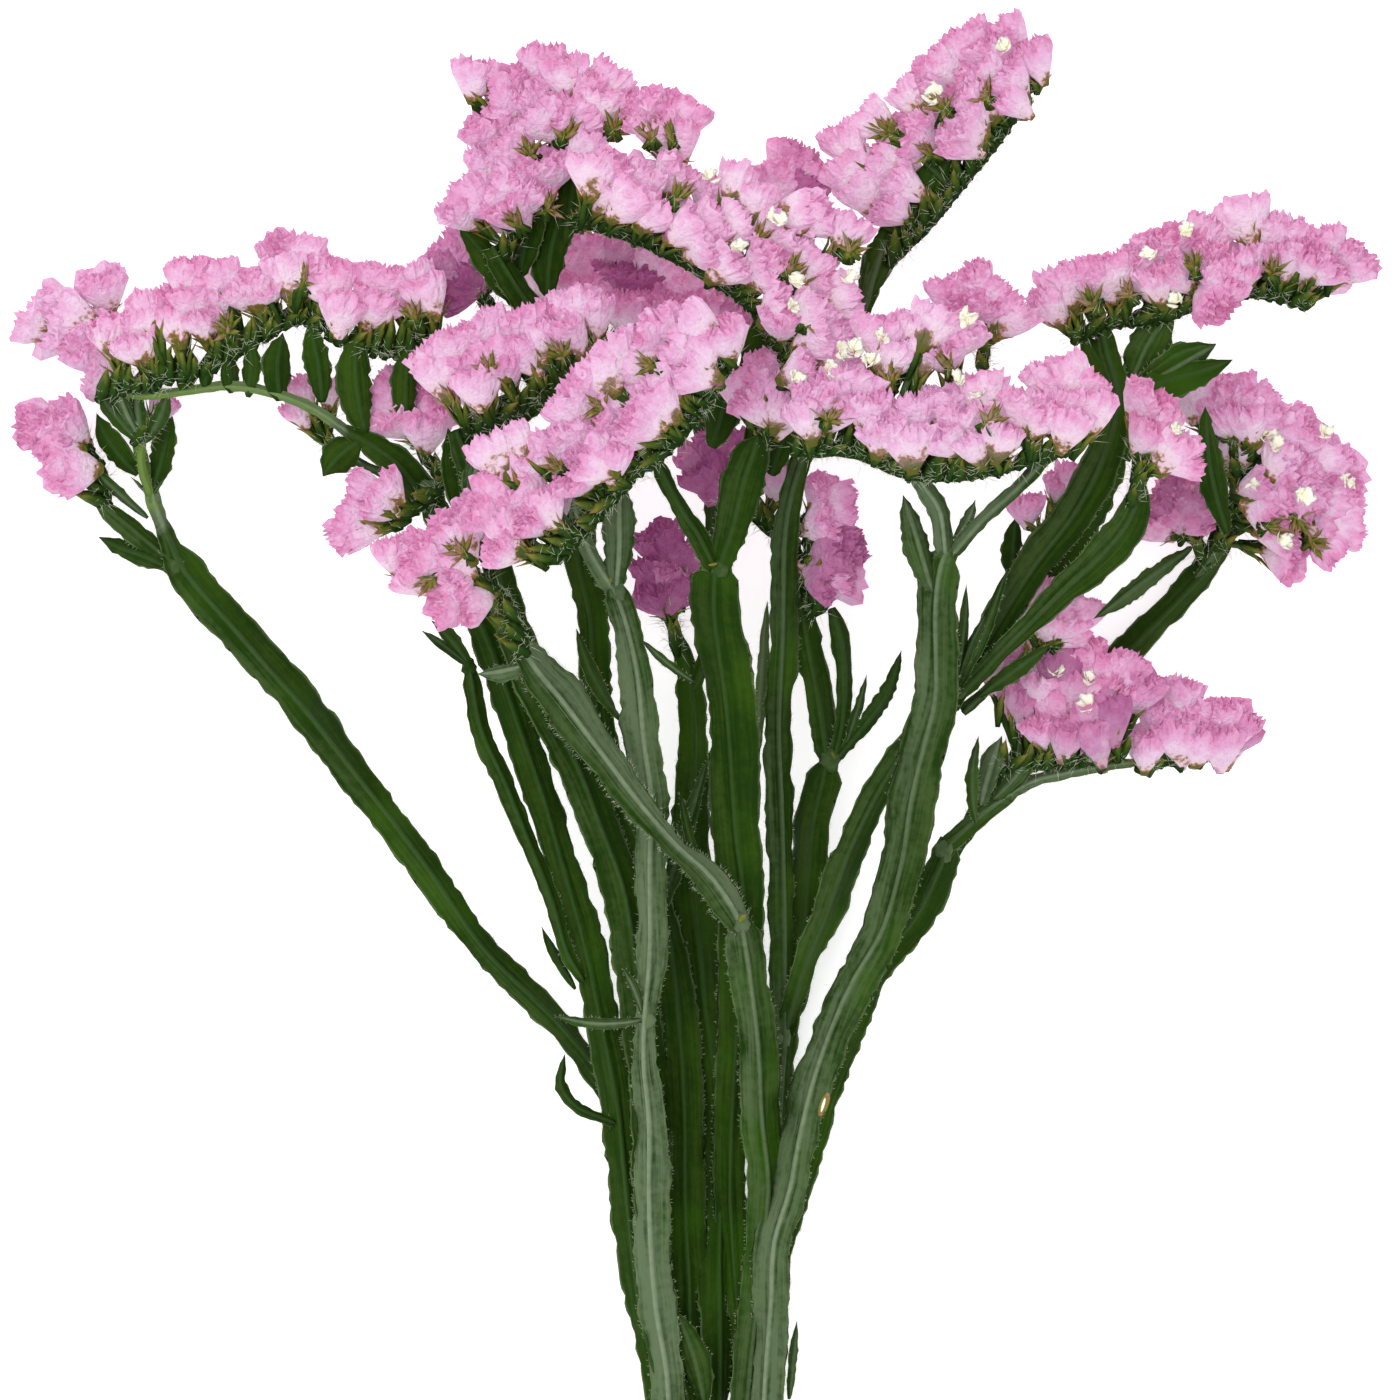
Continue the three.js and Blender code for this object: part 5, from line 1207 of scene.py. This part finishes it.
def flowersUnder(places, middle):
    # the flower whose middle is nearest to each place, seen from above
    return np.linalg.norm(places[:, None] - middle[None, :, :2], axis=2).argmin(1)


def addTufts(piece, places, middle, axis, random):
    # sprays of blades whose tips stand just over the flowers round them
    nearest = flowersUnder(places, middle)
    top = middle[nearest, 2] + calyx["radius"] * tuft["lift"]
    places, aim = (np.repeat(part, tuft["blades"], 0) for part in (np.c_[places, top], axis[nearest]))
    way = unit(unit(aim * [1, 1, 0.5]) + random.normal(0, tuft["spread"], aim.shape) * [1, 1, 0.4])
    outward = squareTo([0, 0, 1.0] + random.normal(0, 0.4, aim.shape), way)
    length = tuft["length"] * random.uniform(0.6, 1.1, len(way))
    stand = tuft["stand"] * random.uniform(0.6, 1.2, (len(way), 1))
    addBlades(piece, places - way * 3, way, outward, length, tuft["half"], stand, random, ripe=tuft["ripe"])
    start = places + way * random.uniform(-3, 2, (len(way), 1))
    way = unit(way + random.normal(0, 0.7, way.shape))
    addSpikes(piece, start, way, length * 0.6, bract["hairThickness"])


def headLayout(head, clear, random):
    # a flower near the spine stands high and opens upwards; one far from it lies lower and opens outwards
    spine, _ = smoothRoute(head["spine"], 1.0)
    fans = np.array(head["fans"], float)
    gap = fans[:, None] - spine[None, :, :2]
    nearest = np.linalg.norm(gap, axis=2).argmin(1)
    away = gap[np.arange(len(fans)), nearest]
    facing = unit(unit(away).mean(0))
    short = np.clip(clear * random.uniform(0.25, 1.15, len(fans)) - (away * facing).sum(1), 0, clear)
    fans, away = fans + facing * short[:, None], away + facing * short[:, None]
    span = np.linalg.norm(away, axis=1)
    share = np.clip(span / (dome["spread"] * head["reach"]), 0, 1)
    aim = unit(unit(away) * np.clip(span / dome["near"], 0, 1)[:, None] + dome["facing"] * facing)
    aim = unit(aim + random.normal(0, dome["jitter"], aim.shape))
    rise = (head["reach"] - dome["seat"]) * np.sqrt(1 - dome["round"] * share**2)
    tilt = np.radians(dome["flat"] + dome["steep"] * (1 - share))
    tilt = tilt + random.normal(0, dome["jitter"], len(fans))
    axis = np.concatenate([aim * np.cos(tilt)[:, None], np.sin(tilt)[:, None]], 1)
    middle = np.concatenate([fans, (spine[nearest, 2] + rise)[:, None]], 1)
    return middle, axis, spine[nearest, :3], rise, spine, np.array([*facing, 0.0])


twig = {
    "core": 1.6, "seedStep": 5, "tone": 0.3, "spineCore": 1.7, "spineTone": 0.35, "spineWidth": (3.4, 1.8),
    "spineStep": 3, "spineHairs": 2.0,
}


def makeHead(name, head, seed, *replaced):
    random = np.random.default_rng(seed)
    middle, axis, root, rise, spine, facing = headLayout(head, head.get("clear", dome["clear"]), random)
    sprays = np.array(head.get("tufts", []), float).reshape(-1, 2)
    if len(sprays):
        apart = np.linalg.norm(middle[:, None, :2] - sprays[None], axis=2).min(1)
        keep = apart > head.get("room", tuft["room"])
        middle, axis, root, rise = middle[keep], axis[keep], root[keep], rise[keep]
    back = rise > dome["backFrom"]
    backMiddle = middle[back] + random.uniform(-dome["backVary"], dome["backVary"], (back.sum(), 3))
    backMiddle[:, 2] = root[back, 2] - np.minimum(rise, root[:, 2] - dome["backFloor"])[back]
    backAxis = axis[back] * [1, 1, -1]
    scaled, shade = head.get("size", 1), head.get("shade", calyx["shade"])
    behind = calyx["length"] * head.get("behind", calyx["behind"]) * scaled
    base, backBase = middle - axis * behind, backMiddle - backAxis * behind
    flowers = Piece(name + "_calyxes")
    addCalyxes(flowers, base, axis, frontWall, calyx["columns"], shade, scaled, random)
    addCalyxes(flowers, backBase, backAxis, backWall, calyx["backColumns"], shade, scaled, random)
    flowers.finish("calyx", *replaced, facets=True)
    sink = facing * head.get("sink", bract["sink"])
    spine, root = spine - sink, root - sink
    greens = Piece(name + "_bracts")
    addBracts(greens, root, base, axis, bract["perCalyx"], random)
    addBracts(greens, root[back], backBase, backAxis, bract["perBack"], random)
    tops = np.concatenate([base, backBase]) + np.concatenate([axis, backAxis])
    addStalks(greens, np.concatenate([root, root[back]]), tops, random)
    addHeadHairs(greens, root, base, axis, random)
    addScales(greens, spine, facing, random)
    if len(sprays):
        addTufts(greens, sprays, middle, axis, random)
    if "twig" in head:
        tone = head.get("twigTone", twig["tone"])
        addRibbon(greens, head["twig"], twig["core"], seed + twig["seedStep"], tone)
    if not head.get("bare"):
        width = np.interp(np.arange(len(spine)), [0, len(spine) - 1], twig["spineWidth"])
        line = np.c_[spine, width][::twig["spineStep"]]
        addRibbon(greens, line, twig["spineCore"], seed, twig["spineTone"], hairs=twig["spineHairs"])
    greens.finish("bract")
    if "corollas" in head:
        places = np.array(head["corollas"], float)
        nearest = flowersUnder(places, middle)
        way = unit(axis[nearest] * 0.8 + [0, 0, 0.9])
        height = middle[nearest, 2] + axis[nearest, 2] * calyx["length"] * 0.3 + calyx["radius"] * 0.75
        petals = Piece(name + "_corollas")
        addCorollas(petals, np.c_[places, height], way, random)
        petals.finish("corolla")


for number, (name, head) in enumerate(heads.items()):
    makeHead(name, head, 900 + number, name)
for number, (name, head) in enumerate(groups.items()):
    makeHead(name, head, 970 + number)
print("flower heads made:", counted["triangles"], "triangles")


def makeTie():
    # a rounded oblong |x/a|^n + |z/b|^n = 1, whose a and b grow by one thickness each turn
    turn = np.linspace(0, 2 * math.pi * tie["turns"], tie["steps"]) - 0.5 * math.pi
    layer = tie["thickness"] * (turn - turn[0]) / (2 * math.pi)
    power = 2 / tie["square"]
    inset = tie["thickness"] * (tie["turns"] + 0.5)
    a, b = tie["across"] / 2 - inset + layer, tie["height"] / 2 - inset + layer
    x = a * np.sign(np.cos(turn)) * np.abs(np.cos(turn)) ** power
    z = b * np.sign(np.sin(turn)) * np.abs(np.sin(turn)) ** power
    line = np.stack([x, np.linspace(*tie["drift"], len(turn)), z], 1) + bandMiddle
    across = np.tile([0, 1.0, 0], (len(turn), 1))
    upward = np.cross(unit(np.gradient(line, axis=0)), across)
    u = np.array([1, 0.6, 0.2, -0.2, -0.6, -1, -1, -0.6, -0.2, 0.2, 0.6, 1])
    v = np.repeat([0.5, -0.5], 6) * tie["thickness"] * (1 - 0.5 * np.abs(u) ** 6)
    rings = line[:, None] + across[:, None] * (u * tie["halfWidth"])[None, :, None]
    rings = rings + upward[:, None] * v[None, :, None]
    piece = Piece("band_strip")
    piece.add(rings[None], line[None, 0], line[None, -1], "tie", along=distances(line)[:, None], across=u)
    piece.finish("band", "band")


makeTie()

floorMesh = bpy.data.meshes.new("floor")
half = light["floorHalf"]
corners = [(-half, -half, 0), (half, -half, 0), (half, half, 0), (-half, half, 0)]
floorMesh.from_pydata(corners, [], [(0, 1, 2, 3)])
floorMesh.materials.append(finishes["floor"])
floor = place("floor", floorMesh)
print("all pieces made:", counted["triangles"], "triangles")
